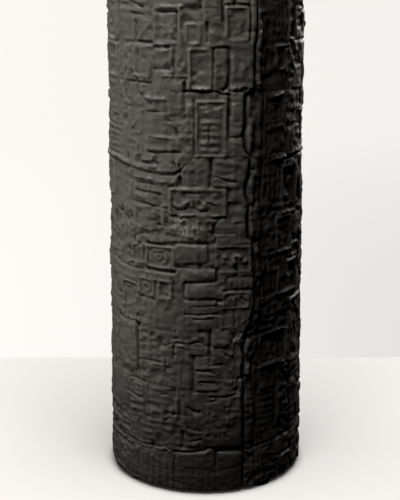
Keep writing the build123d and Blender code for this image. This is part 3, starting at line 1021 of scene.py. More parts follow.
class Term:
    """A number in a node tree. Arithmetic on terms adds the Math nodes that work it out."""

    def __init__(self, sketch: Sketch, socket: bpy.types.NodeSocket) -> None:
        """Wraps an output socket."""
        self.sketch = sketch
        self.socket = socket

    def math(self, operation: str, *others: Term | float) -> Term:
        """This term under one Math operation, with further operands."""
        return self.sketch.math(operation, self, *others)

    def __add__(self, other: Term | float) -> Term:
        """Sum."""
        return self.math("ADD", other)

    __radd__ = __add__

    def __mul__(self, other: Term | float) -> Term:
        """Product."""
        return self.math("MULTIPLY", other)

    __rmul__ = __mul__

    def __sub__(self, other: Term | float) -> Term:
        """Difference."""
        return self.math("SUBTRACT", other)

    def __rsub__(self, other: Term | float) -> Term:
        """Difference from a number."""
        return self.sketch.math("SUBTRACT", other, self)

    def __truediv__(self, other: Term | float) -> Term:
        """Quotient."""
        return self.math("DIVIDE", other)

    def fade(self, start: float, end: float) -> Term:
        """Soft step from 0 at start to 1 at end."""
        ends = {"Value": self, "From Min": start, "From Max": end}
        return self.sketch.node("ShaderNodeMapRange", {"interpolation_type": "SMOOTHSTEP"}, ends)


Given = Term | float | int | bool | Sequence[float] | bpy.types.Material


def feed(node: bpy.types.Node, values: dict[str | int, Given]) -> None:
    """Sets or links a node's inputs.

    Args:
        node: The node.
        values: Values or links of its sockets, by name or by place.
    """
    for name, value in values.items():
        if isinstance(value, Term):
            value.sketch.tree.links.new(value.socket, node.inputs[name])
        else:
            node.inputs[name].default_value = value


class Sketch:
    """Builds a node tree, for a material or for geometry."""

    def __init__(self, tree: bpy.types.NodeTree) -> None:
        """Starts on an empty tree."""
        self.tree = tree

    def node(
        self, kind: str, settings: dict[str, object], inputs: dict[str | int, Given], output: str | int = 0
    ) -> Term:
        """Adds one node.

        Args:
            kind: The node's type.
            settings: Its own settings, which are made first.
            inputs: Values or links of its sockets, by name or by place.
            output: Which of its outputs is wanted.

        Returns:
            That output.
        """
        made = self.tree.nodes.new(kind)
        for name, value in settings.items():
            setattr(made, name, value)
        feed(made, inputs)
        return Term(self, made.outputs[output])

    def place(self) -> Term:
        """Where a point lies on the object."""
        return self.node("ShaderNodeTexCoord", {}, {}, "Object")

    def parts(self, vector: Term) -> tuple[Term, ...]:
        """The three numbers of a vector."""
        made = self.tree.nodes.new("ShaderNodeSeparateXYZ")
        feed(made, {0: vector})
        return tuple(Term(self, made.outputs[index]) for index in range(3))

    def relief(self, strength: float, depth: float, height: Term, over: Term | None = None) -> Term:
        """Adds a bump so deep, in metres, over another if given."""
        inputs = {"Strength": strength, "Distance": depth, "Height": height}
        return self.node("ShaderNodeBump", {}, inputs if over is None else {**inputs, "Normal": over})

    def math(self, operation: str, *operands: Term | float) -> Term:
        """Adds a Math node."""
        return self.node("ShaderNodeMath", {"operation": operation}, dict(enumerate(operands)))

    def vector(self, operation: str, *operands: Term | Sequence[float]) -> Term:
        """Adds a Vector Math node."""
        return self.node("ShaderNodeVectorMath", {"operation": operation}, dict(enumerate(operands)))

    def combine(self, x: Term | float, y: Term | float, z: Term | float) -> Term:
        """Makes a vector of three numbers."""
        return self.node("ShaderNodeCombineXYZ", {}, {"X": x, "Y": y, "Z": z})

    def blend(self, share: Term | float, first: Term | Colour, second: Term | Colour) -> Term:
        """Mixes two colours. The share is how much of the second."""
        ends = [c if isinstance(c, Term) else (*c, 1.0) for c in (first, second)]
        return self.node("ShaderNodeMix", {"data_type": "RGBA"}, {0: share, 6: ends[0], 7: ends[1]}, 2)

    def noise(self, place: Term, scale: float, detail: float = 2.0, roughness: float = 0.5) -> Term:
        """Adds a noise about 0.5, with scale features in a metre, and its octaves and their strength."""
        inputs = {"Vector": place, "Scale": scale, "Detail": detail, "Roughness": roughness}
        return self.node("ShaderNodeTexNoise", {}, inputs)


class GeometryTree:
    """A Geometry Nodes group with named inputs."""

    def __init__(self, name: str, inputs: dict[str, tuple[str, object]]) -> None:
        """Opens the group.

        Args:
            name: The group's name.
            inputs: Name of each input, with its socket type and default.
        """
        self.group = bpy.data.node_groups.new(name, "GeometryNodeTree")
        face = self.group.interface
        face.new_socket("Geometry", in_out="INPUT", socket_type="NodeSocketGeometry")
        self.sockets: dict[str, str] = {}
        for label, (kind, default) in inputs.items():
            socket = face.new_socket(label, in_out="INPUT", socket_type=kind)
            if default is not None:
                socket.default_value = default
            self.sockets[label] = socket.identifier
        face.new_socket("Geometry", in_out="OUTPUT", socket_type="NodeSocketGeometry")
        self.sketch = Sketch(self.group)
        self.source = self.group.nodes.new("NodeGroupInput")

    def given(self, label: str) -> Term:
        """The group input of that name."""
        return Term(self.sketch, self.source.outputs[label])

    def end(self, geometry: Term) -> None:
        """Makes instances real, gives the result its finish and closes the group."""
        real = self.sketch.node("GeometryNodeRealizeInstances", {}, {"Geometry": geometry})
        finished = {"Geometry": real, "Material": self.given("Finish")}
        dressed = self.sketch.node("GeometryNodeSetMaterial", {}, finished)
        feed(self.group.nodes.new("NodeGroupOutput"), {"Geometry": dressed})

    def apply(
        self, piece: bpy.types.Object, values: dict[str, object], keep: float = 1.0
    ) -> bpy.types.Object:
        """Runs the group on a piece and leaves a plain mesh.

        Args:
            piece: The object to work on.
            values: Values of the group's inputs, by name.
            keep: Share of the faces to keep, where its fine mesh is thinned.

        Returns:
            The same object, with its new mesh.
        """
        modifier = piece.modifiers.new("shape", "NODES")
        modifier.node_group = self.group
        for label, value in values.items():
            modifier[self.sockets[label]] = value
        if keep < 1.0:
            thin = piece.modifiers.new("thin", "DECIMATE")
            thin.ratio = keep
        graph = bpy.context.evaluated_depsgraph_get()
        mesh = bpy.data.meshes.new_from_object(piece.evaluated_get(graph), depsgraph=graph)
        piece.modifiers.clear()
        old = piece.data
        piece.data = mesh
        bpy.data.meshes.remove(old)
        mesh.name = piece.name
        return piece


def roll_tree() -> GeometryTree:
    """The tree that rolls a flat slab into the vase's tapered wall.

    A flat slab has its length along X, its relief along Y and its height along Z.

    Returns:
        The finished group.
    """
    names = ("Roll Radius", "Low Radius", "Low Level", "Slope")
    inputs = {**{name: ("NodeSocketFloat", 0.0) for name in names}, "Finish": ("NodeSocketMaterial", None)}
    tree = GeometryTree("roll_slab", inputs)
    sketch = tree.sketch
    along, out, up = sketch.parts(sketch.node("GeometryNodeInputPosition", {}, {}))
    angle = along / tree.given("Roll Radius")
    radius = tree.given("Low Radius") + tree.given("Slope") * (up - tree.given("Low Level")) + out
    rolled = sketch.combine(radius * angle.math("SINE"), radius * angle.math("COSINE") * -1.0, up)
    flat = tree.given("Geometry")
    moved = sketch.node("GeometryNodeSetPosition", {}, {"Geometry": flat, "Position": rolled})
    tree.end(sketch.node("GeometryNodeMergeByDistance", {}, {"Geometry": moved, "Distance": WELD}))
    return tree


def ring_tree() -> GeometryTree:
    """The tree that sets copies of a small piece round the axis, evenly spaced.

    Returns:
        The finished group.
    """
    inputs = {
        "Count": ("NodeSocketInt", 4),
        "Circle Radius": ("NodeSocketFloat", 0.0),
        "First Angle": ("NodeSocketFloat", 0.0),
        "Finish": ("NodeSocketMaterial", None),
    }
    tree = GeometryTree("ring_of_pads", inputs)
    sketch = tree.sketch
    sizes = {"Vertices": tree.given("Count"), "Radius": tree.given("Circle Radius")}
    circle = sketch.node("GeometryNodeMeshCircle", {}, sizes)
    turn = sketch.combine(0.0, 0.0, tree.given("First Angle"))
    turned = sketch.node("GeometryNodeTransform", {}, {"Geometry": circle, "Rotation": turn})
    copied = {"Points": turned, "Instance": tree.given("Geometry"), "Rotation": turn}
    tree.end(sketch.node("GeometryNodeInstanceOnPoints", {}, copied))
    return tree


# ---- Finishes ------------------------------------------------


def new_material(name: str) -> tuple[bpy.types.Material, Sketch, bpy.types.Node]:
    """Starts a material.

    Args:
        name: Its name.

    Returns:
        The material, a sketch on its tree and its shader.
    """
    material = bpy.data.materials.new(name)
    material.use_nodes = True
    tree = material.node_tree
    tree.nodes.clear()
    shader = tree.nodes.new("ShaderNodeBsdfPrincipled")
    out = tree.nodes.new("ShaderNodeOutputMaterial")
    tree.links.new(shader.outputs[0], out.inputs["Surface"])
    return material, Sketch(tree), shader


@dataclass(frozen=True)
class BlackClay:
    """Smoke-fired clay, burnished where hands and cloth reached; darkened in its hollows, beside the seam and
    by the foot as painted shade.
    """

    # Dark tone of fine grain, also used as painted shade in the hollows, beside the seam and by the foot.
    pits: Colour = (0.0035, 0.003, 0.0025)
    body: Colour = (0.023, 0.0222, 0.0202)
    burnished: Colour = (0.036, 0.035, 0.0325)
    inside: Colour = (0.02, 0.0195, 0.0182)
    dust: Colour = (0.15, 0.147, 0.136)
    roughness: float = 0.56
    specular: float = 0.3
    burnished_height: Point = (0.05, 0.8)  # over its surroundings, in millimetres
    # Painted shade in the hollows: how far under its surroundings it starts and where it is full, in
    # millimetres.
    hollow_shade_height: Point = (-0.2, -1.25)
    inside_depth: Point = (-5.2, -6.2)  # from the plain wall, in millimetres
    # Painted shade beside the seam: the azimuths where it sets in and where it fades.
    seam_shade_span: tuple[Point, Point] = ((30.0, 33.0), (64.0, 40.0))  # where it sets in and where it fades
    low_shade_levels: Point = (0.27, 0.24)  # levels below which it sets in sooner
    low_shade_turn: float = 3.5
    # Painted shade towards the foot: the levels where it begins and where it is full.
    foot_shade_levels: Point = (0.13, 0.03)
    shade_shares: Point = (0.96, 0.78)  # how much there is by the seam and by the foot
    dust_middle: Point = (-11.5, 246.0)
    dust_size: Point = (8.5, 10.0)

    def make(self, measures: Measures) -> bpy.types.Material:
        """Builds the material.

        Args:
            measures: Sizes that tell how high a place stands on the wall.

        Returns:
            The material.
        """
        material, sketch, shader = new_material("black_clay")
        place = sketch.place()
        x, y, z = sketch.parts(place)
        radius = (x * x + y * y).math("SQRT")
        wall = measures.slope * (z - measures.band_joint) + measures.low_radius
        proud = (radius - wall) / MM
        hollow = sketch.node("ShaderNodeAttribute", {"attribute_name": HOLLOW}, {}, "Fac")
        mottle = sketch.noise(place, 60.0, 5.0, 0.65)
        grain = sketch.noise(place, 900.0, 4.0, 0.7)
        angle = x.math("ARCTAN2", y * -1.0)
        azimuth = angle / math.radians(1.0)
        rolled = sketch.combine(angle * measures.roll_radius, 0.0, z)
        lying = sketch.noise(sketch.vector("MULTIPLY", rolled, (1.0, 1.0, 6.0)), 140.0, 3.0, 0.7)
        upright = sketch.noise(sketch.vector("MULTIPLY", rolled, (5.0, 1.0, 1.0)), 150.0, 3.0, 0.7)
        uneven = 0.7 * (mottle - 0.5)
        high = (hollow + uneven).fade(*self.burnished_height)
        # Painted shade in the hollows.
        deep = (hollow + 0.4 * uneven).fade(*self.hollow_shade_height)
        within = proud.fade(*self.inside_depth)
        outside = within.math("LESS_THAN", 0.5)
        dust = self.worn_patch(sketch, azimuth, z / MM, rolled) * outside
        # Painted shade beside the seam.
        seam_shade_zone = self.shade_by_seam(azimuth, z, mottle)
        # Painted shade towards the foot.
        foot_shade_zone = (z + 0.05 * (mottle - 0.5)).fade(*self.foot_shade_levels)
        colour = sketch.blend(high, self.body, self.burnished)
        # Painted shade in the hollows, then a random dark grain.
        colour = sketch.blend(deep, colour, self.pits)
        colour = sketch.blend((grain - 0.35) * 0.5, colour, self.pits)
        # Painted shade beside the seam and by the foot.
        for share, zone in zip(self.shade_shares, (seam_shade_zone, foot_shade_zone)):
            colour = sketch.blend(share * zone, colour, self.pits)
        colour = sketch.blend(dust, colour, self.dust)
        colour = sketch.blend(within, colour, self.inside)
        rough = self.roughness + 0.09 - 0.15 * high + 0.3 * (mottle - 0.5) + 0.2 * deep + 0.2 * dust
        rough = rough + 0.15 * within + 0.15 * seam_shade_zone
        coarse = sketch.relief(0.7, 0.55 * MM, sketch.noise(place, 380.0, 5.0, 0.68))
        pits = sketch.node("ShaderNodeTexVoronoi", {}, {"Vector": place, "Scale": 620.0})
        marks = grain * 0.6 + lying * 0.7 + upright * 0.4 + pits.fade(0.0, 0.35) * 0.5
        fine = sketch.relief(0.6, 0.25 * MM, marks, coarse)
        feed(shader, {"Specular IOR Level": self.specular})
        feed(shader, {"Base Color": colour, "Roughness": rough, "Normal": fine})
        return material

    def shade_by_seam(self, azimuth: Term, z: Term, mottle: Term) -> Term:
        """The painted shade behind the seam, which sets in sooner on the lower slab.

        Args:
            azimuth: Azimuth in degrees.
            z: Level in metres.
            mottle: A noise about 0.5 that frays its edge.

        Returns:
            How much painted shade a place takes.
        """
        sets_in, fades = self.seam_shade_span
        sooner = self.low_shade_turn * z.fade(*self.low_shade_levels)
        return (azimuth + sooner + 4.0 * (mottle - 0.5)).fade(*sets_in) * azimuth.fade(*fades)

    def worn_patch(self, sketch: Sketch, azimuth: Term, level: Term, rolled: Term) -> Term:
        """The pale, dusty rub on the front of the lower slab.

        Args:
            sketch: The tree.
            azimuth: Azimuth in degrees.
            level: Level in millimetres.
            rolled: Place on the rolled slab.

        Returns:
            How much dust lies there.
        """
        across = (azimuth - self.dust_middle[0]) / self.dust_size[0]
        up = (level - self.dust_middle[1]) / self.dust_size[1]
        near = (across * across + up * up).fade(1.5, 0.3)
        drawn_out = sketch.vector("MULTIPLY", rolled, (1.0, 1.0, 0.6))
        streaks = sketch.noise(drawn_out, 420.0, 4.0, 0.75).fade(0.47, 0.62)
        clouds = sketch.noise(rolled, 150.0, 2.0, 0.5).fade(0.36, 0.6)
        return near * (streaks * clouds + 0.12)


@dataclass(frozen=True)
class InsideClay:
    """The same clay inside, wiped with a wet sponge and left matt."""

    body: Colour = (0.015, 0.0145, 0.0135)
    wiped: Colour = (0.026, 0.025, 0.0235)
    roughness: float = 0.72

    def make(self) -> bpy.types.Material:
        """Builds the material.

        Returns:
            The material.
        """
        material, sketch, shader = new_material("inside_clay")
        place = sketch.place()
        streaks = sketch.noise(sketch.vector("MULTIPLY", place, (1.0, 1.0, 7.0)), 45.0, 4.0, 0.6)
        grain = sketch.noise(place, 800.0, 3.0, 0.6)
        colour = sketch.blend(streaks.fade(0.35, 0.7), self.body, self.wiped)
        normal = sketch.relief(0.5, 0.3 * MM, grain * 0.5 + streaks)
        rough = self.roughness + 0.12 * (grain - 0.5)
        feed(shader, {"Base Color": colour, "Roughness": rough, "Normal": normal})
        return material


@dataclass(frozen=True)
class PadRubber:
    """Soft black rubber of a self-adhesive pad."""

    body: Colour = (0.012, 0.012, 0.013)
    bloom: Colour = (0.03, 0.03, 0.031)
    roughness: float = 0.5

    def make(self) -> bpy.types.Material:
        """Builds the material.

        Returns:
            The material.
        """
        material, sketch, shader = new_material("pad_rubber")
        place = sketch.place()
        cloud = sketch.noise(place, 120.0, 3.0, 0.6)
        normal = sketch.relief(0.3, 0.1 * MM, sketch.noise(place, 2200.0, 2.0, 0.6))
        colour = sketch.blend(cloud.fade(0.4, 0.75), self.body, self.bloom)
        feed(shader, {"Base Color": colour, "Roughness": self.roughness + 0.2 * cloud, "Normal": normal})
        return material


@dataclass(frozen=True)
class PaleGround:
    """Matt pale paper that partly glows by itself, painted light that keeps shadows soft.

    Fields: its name; its colours at the left and the right, near and far, which paint a falloff of light; how
    much of its brightness is its own glow round the vase; the depths of near and far; the distances over
    which all of it becomes its own glow; and the radii, strength and colour of the shade round the foot.
    """

    name: str
    near: tuple[Colour, Colour]
    far: tuple[Colour, Colour]
    glow: float
    depth: Point
    own_glow_radii: Point = (0.45, 2.6)
    contact: Point = (0.083, 0.1)
    contact_share: float = 0.95
    contact_shade: Colour = (0.05, 0.05, 0.047)

    def make(self) -> bpy.types.Material:
        """Builds the material.

        Returns:
            The material.
        """
        material, sketch, shader = new_material(self.name)
        x, y, _ = sketch.parts(sketch.place())
        radius = (x * x + y * y).math("SQRT")
        # Painted light falloff: lighter at the left than at the right, and changing from near to far.
        across = (x / (y.math("MAXIMUM", 0.0) + 1.1)).fade(-0.2, 0.2)
        near = sketch.blend(across, *self.near)
        colour = sketch.blend(y.fade(*self.depth), near, sketch.blend(across, *self.far))
        shade = radius.fade(self.contact[1], self.contact[0])
        colour = sketch.blend(shade * shade * self.contact_share, colour, self.contact_shade)
        # Painted light: the ground's own glow, which is all of its brightness far from the vase.
        own_share = radius.fade(*self.own_glow_radii) * (1.0 - self.glow) + self.glow
        own = sketch.blend(own_share, BLACK, colour)
        lit = sketch.blend(own_share, colour, BLACK)
        feed(shader, {"Emission Color": own, "Base Color": lit, "Emission Strength": 1.0, "Roughness": 0.9})
        feed(shader, {"Specular IOR Level": 0.0})
        return material


# ---- Meshes --------------------------------------------------


def new_piece(name: str, points: Array, faces: list[Sequence[int]]) -> bpy.types.Object:
    """Makes an object from points and faces.

    Args:
        name: Its name.
        points: One row of x, y, z for each point, in metres.
        faces: The points of each face, in order about its outside.

    Returns:
        The object, in the scene and at the origin.
    """
    mesh = bpy.data.meshes.new(name)
    mesh.from_pydata(points.tolist(), [], faces)
    mesh.update()
    piece = bpy.data.objects.new(name, mesh)
    bpy.context.scene.collection.objects.link(piece)
    return piece


def finish_piece(piece: bpy.types.Object, nodes: Sequence[str], crease: float = 70.0) -> None:
    """Shades a piece, hangs it on the frame and logs it.

    Args:
        piece: The piece.
        nodes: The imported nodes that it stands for.
        crease: Angle past which an edge stays sharp, in degrees.
    """
    mesh = piece.data
    mesh.polygons.foreach_set("use_smooth", np.ones(len(mesh.polygons), bool))
    mesh.set_sharp_from_angle(angle=math.radians(crease))
    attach(piece, "root")
    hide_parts(*nodes)
    triangles = sum(len(p.vertices) - 2 for p in mesh.polygons)
    log.info("%s: %d triangles", piece.name, triangles)


@dataclass
class Shell:
    """A flat slab of clay: a fine face with relief, a coarser back and the edges between them.

    Both faces are grids of x, y, z, with levels down their rows. The back has one point for every few of the
    face's.
    """

    face: Array
    back: Array
    ratio: int
    closed: bool

    def faces(self) -> list[Sequence[int]]:
        """Joins the two grids into a closed skin, outward all over.

        Returns:
            The points of each face.
        """
        rows, columns = self.face.shape[:2]
        back_rows, back_columns = self.back.shape[:2]
        front = np.arange(rows * columns).reshape(rows, columns)
        behind = np.arange(back_rows * back_columns).reshape(back_rows, back_columns) + front.size
        made = self.quads(front) + self.quads(behind[:, ::-1])
        ratio = self.ratio
        for index in range(back_columns - 1):
            strip = slice(index * ratio, (index + 1) * ratio + 1)
            made.append([*front[0, strip][::-1], behind[0, index], behind[0, index + 1]])
            made.append([*front[-1, strip], behind[-1, index + 1], behind[-1, index]])
        if not self.closed:
            for index in range(back_rows - 1):
                strip = slice(index * ratio, (index + 1) * ratio + 1)
                made.append([*front[strip, 0], behind[index + 1, 0], behind[index, 0]])
                made.append([*front[strip, -1][::-1], behind[index, -1], behind[index + 1, -1]])
        return made

    @staticmethod
    def quads(grid: Array) -> list[Sequence[int]]:
        """The four-sided faces of a grid of point numbers."""
        corners = (grid[:-1, :-1], grid[:-1, 1:], grid[1:, 1:], grid[1:, :-1])
        return np.stack(corners, axis=-1).reshape(-1, 4).tolist()

    def points(self) -> Array:
        """All points, the face's first."""
        return np.concatenate([self.face.reshape(-1, 3), self.back.reshape(-1, 3)])


@dataclass
class Cutter:
    """Cuts wall pieces out of the pressed slab and rolls them up."""

    measures: Measures
    relief: Relief
    roll: GeometryTree
    outside: bpy.types.Material
    inside: bpy.types.Material
    spacing: float = 0.75
    ratio: int = 6

    def cut(
        self,
        name: str,
        span: tuple[Callable[[Array], Array], Callable[[Array], Array]],
        back_span: tuple[float, float],
        levels: tuple[Callable[[Array], Array], Callable[[Array], Array]],
        rises: tuple[float, float],
        triangles: int,
        shape: Callable[[Array, Array], Array] | None = None,
    ) -> bpy.types.Object:
        """Cuts out one piece.

        Args:
            name: The piece's name.
            span: Its left and right azimuths on the outside, as functions of the level in millimetres.
            back_span: Its left and right azimuths on the inside.
            levels: Its low and high levels on the outside, as functions of the azimuth.
            rises: How much higher its lower and upper joints are inside, in millimetres.
            triangles: How many triangles to keep.
            shape: Further relief, as a function of azimuth and level.

        Returns:
            The rolled piece.
        """
        closed = back_span[1] - back_span[0] >= FULL_TURN
        middle = np.array([(back_span[0] + back_span[1]) / 2])
        low, high = float(levels[0](middle)[0]), float(levels[1](middle)[0])
        mid = np.array([(low + high) / 2])
        width = float((span[1](mid) - span[0](mid))[0]) * self.relief.per_degree
        stride = self.spacing * self.ratio * 1.0
        columns, rows = (max(2, round(size / stride)) * self.ratio + 1 for size in (width, high - low))
        across = np.linspace(0, 1, columns)[None, :]
        up = np.linspace(0, 1, rows)[:, None]
        level = low + (high - low) * up + 0 * across
        azimuth = span[0](level) + (span[1](level) - span[0](level)) * across
        level = levels[0](azimuth) + (levels[1](azimuth) - levels[0](azimuth)) * up
        azimuth = span[0](level) + (span[1](level) - span[0](level)) * across
        out = self.relief.sample(azimuth, level)
        if shape is not None:
            out = out + shape(azimuth, level)
        face = self.flat(azimuth, level, out)
        few_across, few_up = across[:, :: self.ratio], up[:: self.ratio]
        back_azimuth = back_span[0] + (back_span[1] - back_span[0]) * few_across + 0 * few_up
        ends = levels[0](back_azimuth) + rises[0], levels[1](back_azimuth) + rises[1]
        back_level = ends[0] + (ends[1] - ends[0]) * few_up
        wiped = 0.15 * np.sin(back_level * 0.55 + 2.0 * np.sin(np.radians(back_azimuth) * 3))
        back = self.flat(back_azimuth, back_level, wiped - self.measures.wall / MM)
        shell = Shell(face, back, self.ratio, closed)
        piece = new_piece(name, shell.points(), shell.faces())
        hollow = self.relief.sample(azimuth, level, hollow=True).ravel()
        marks = piece.data.attributes.new(HOLLOW, "FLOAT", "POINT")
        marks.data.foreach_set("value", np.concatenate([hollow, np.zeros(few_up.size * few_across.size)]))
        made = 2 * (rows - 1) * (columns - 1) * (1 + 1 / self.ratio**2)
        self.roll.apply(piece, self.roll_values(self.outside), min(1.0, triangles / made))
        return piece

    def strip(
        self, name: str, sections: Array, looped: bool, capped: bool, finish: bpy.types.Material
    ) -> bpy.types.Object:
        """Rolls up a strip of clay from its cross-sections.

        Args:
            name: The piece's name.
            sections: Flat points, by place along the strip and then round its section.
            looped: Whether each section closes on itself, rather than ending on the vase's axis.
            capped: Whether the strip has ends, rather than closing round the vase.
            finish: Its material.

        Returns:
            The rolled piece.
        """
        count = sections.shape[0] * sections.shape[1]
        numbers = np.arange(count).reshape(sections.shape[:2])
        wrapped = np.concatenate([numbers, numbers[:, :1]], axis=1) if looped else numbers
        faces = Shell.quads(wrapped)
        if capped:
            faces += [numbers[0, ::-1].tolist(), numbers[-1].tolist()]
        piece = new_piece(name, sections.reshape(-1, 3), faces)
        return self.roll.apply(piece, self.roll_values(finish))

    def flat(self, azimuth: Array, level: Array, out: Array) -> Array:
        """Points on the flat slab, in metres, from degrees and millimetres."""
        along = np.radians(azimuth) * self.measures.roll_radius
        return np.stack([along, out * MM + 0 * along, level * MM], axis=-1)

    def roll_values(self, finish: bpy.types.Material) -> dict[str, object]:
        """Values of the roll tree's inputs, for a piece in that finish."""
        return {
            "Roll Radius": self.measures.roll_radius,
            "Low Radius": self.measures.low_radius,
            "Low Level": self.measures.band_joint,
            "Slope": self.measures.slope,
            "Finish": finish,
        }


# ---- Sub-assemblies ------------------------------------------


def always(value: float) -> Callable[[Array], Array]:
    """A line that stays at one value."""
    return lambda where: value + 0.0 * where


def band_line(azimuth: Array) -> Array:
    """Level of the joint between the foot band and the lower slab."""
    return BAND_LINE.at(azimuth, FULL_TURN)


def slab_line(azimuth: Array) -> Array:
    """Level of the joint between the two wall slabs."""
    return SLAB_LINE.at(azimuth, FULL_TURN)


@dataclass
class Wall:
    """The outside of the vase: foot band, two wall slabs and the coils in their upright seam."""

    cutter: Cutter
    seam_inside: tuple[float, float] = (27.6, 30.4)
    slab_triangles: int = 188_000
    band_triangles: int = 90_000
    coil_triangles: int = 30_000
    foot_rounding: float = 3.2
    base_seat: float = 10.0  # how much higher the foot band starts inside

    def build(self) -> None:
        """Cuts, rolls and hangs every piece of the wall."""
        cut, measures = self.cutter.cut, self.cutter.measures
        rise = measures.joint_rise / MM
        foot, rim = measures.foot_level / MM, measures.rim_joint / MM
        round_wall = (SEAM_HEEL.at, lambda level: SEAM_CRACK.at(level) + FULL_TURN)
        round_back = (self.seam_inside[1], self.seam_inside[0] + FULL_TURN)
        seam = (SEAM_CRACK.at, SEAM_HEEL.at)
        whole = (always(-180.0), always(180.0))
        levels, rises = (always(foot), band_line), (self.base_seat, rise)
        count = self.band_triangles
        band = cut("foot_band_skin", whole, (-180.0, 180.0), levels, rises, count, self.foot_edge)
        finish_piece(band, ["foot_band"])
        rises = (rise, rise)
        for name, levels in {"lower": (band_line, slab_line), "upper": (slab_line, always(rim))}.items():
            slab = cut(f"{name}_wall_skin", round_wall, round_back, levels, rises, self.slab_triangles)
            finish_piece(slab, [f"{name}_wall_slab"])
            coil = cut(f"{name}_seam_clay", seam, self.seam_inside, levels, rises, self.coil_triangles)
            finish_piece(coil, [f"{name}_seam_coil"])

    def foot_edge(self, azimuth: Array, level: Array) -> Array:
        """Rounding of the edge at the floor.

        Args:
            azimuth: Azimuths.
            level: Levels.

        Returns:
            How far the skin draws in, in millimetres.
        """
        above = level - self.cutter.measures.foot_level / MM
        inside = np.clip(self.foot_rounding - above, 0, self.foot_rounding)
        drawn_in = self.foot_rounding - np.sqrt(self.foot_rounding**2 - inside**2)
        return -drawn_in + 0.6 * smooth(1 - above / 4) + 0 * azimuth


def dents(place: Array, spacing: float, phase: float) -> Array:
    """Marks of fingertips pressed side by side, from -1 to 0, unevenly deep.

    Args:
        place: Distance along the strip.
        spacing: Distance from one mark to the next.
        phase: Sets one strip's marks apart from another's.

    Returns:
        Their depth.
    """
    wander = 0.35 * spacing * np.sin(place / spacing * 0.83 + phase)
    deep = 0.72 + 0.28 * np.sin(place / spacing * 1.31 + 2.3 * phase)
    return -deep * np.sin(math.pi * (place + wander) / spacing) ** 2


@dataclass
class Rim:
    """The rounded lip, smoothed between finger and thumb."""

    cutter: Cutter
    proud: float = 1.0
    flare: float = 4.0
    worn: float = 0.35  # off its crown
    fingertips: int = 34  # dents round it
    around: int = 540
    arc_steps: int = 14

    def build(self) -> None:
        """Shapes and hangs the lip."""
        cutter = self.cutter
        measures = cutter.measures
        wall, joint, top = measures.wall / MM, measures.rim_joint / MM, measures.height / MM
        half = (wall + self.proud) / 2
        middle = self.proud - half
        azimuth = np.linspace(-180, 180, self.around + 1)
        along = azimuth * cutter.relief.per_degree
        turn = np.radians(azimuth)
        press = dents(np.abs(along), cutter.relief.girth / self.fingertips, 0.4 + 1.5 * np.sin(turn) ** 2)
        sway = 0.3 * np.sin(2 * turn + 0.6) + 0.22 * np.sin(5 * turn) + 0.14 * np.sin(11 * turn + 1.1)
        below = cutter.relief.sample(azimuth, np.full_like(azimuth, joint))

        def crown(angle: float) -> Array:
            """Level of the lip's arc at an angle from its outer shoulder."""
            rise = math.sin(angle)
            return top - half + (half - self.worn) * rise + (0.5 * sway + 0.2 * press) * rise

        points = []
        for step in range(self.arc_steps + 1):
            angle = math.pi / 2 * (1 - step / self.arc_steps)
            out = middle + half * math.cos(angle) + (0.45 * press + 0.2 * sway) * math.cos(angle)
            points.append((out, crown(angle)))
        for share in (0.75, 0.5, 0.25, 0.0):
            swell = float(smooth(np.array(share)))
            own = self.proud + 0.45 * press + 0.2 * sway
            points.append((below + (own - below) * swell, joint + self.flare * share))
        points.append((-wall, joint + measures.joint_rise / MM))
        for step in range(self.arc_steps):
            angle = math.pi * (1 - 0.5 * step / self.arc_steps)
            out = middle + half * math.cos(angle) - 0.3 * press * math.cos(angle) ** 2
            points.append((out, crown(angle)))
        rings = [cutter.flat(azimuth, level + 0 * azimuth, out + 0 * azimuth) for out, level in points]
        rim = cutter.strip("rim_lip", np.stack(rings, axis=1), True, False, cutter.outside)
        finish_piece(rim, ["rim_coil"])


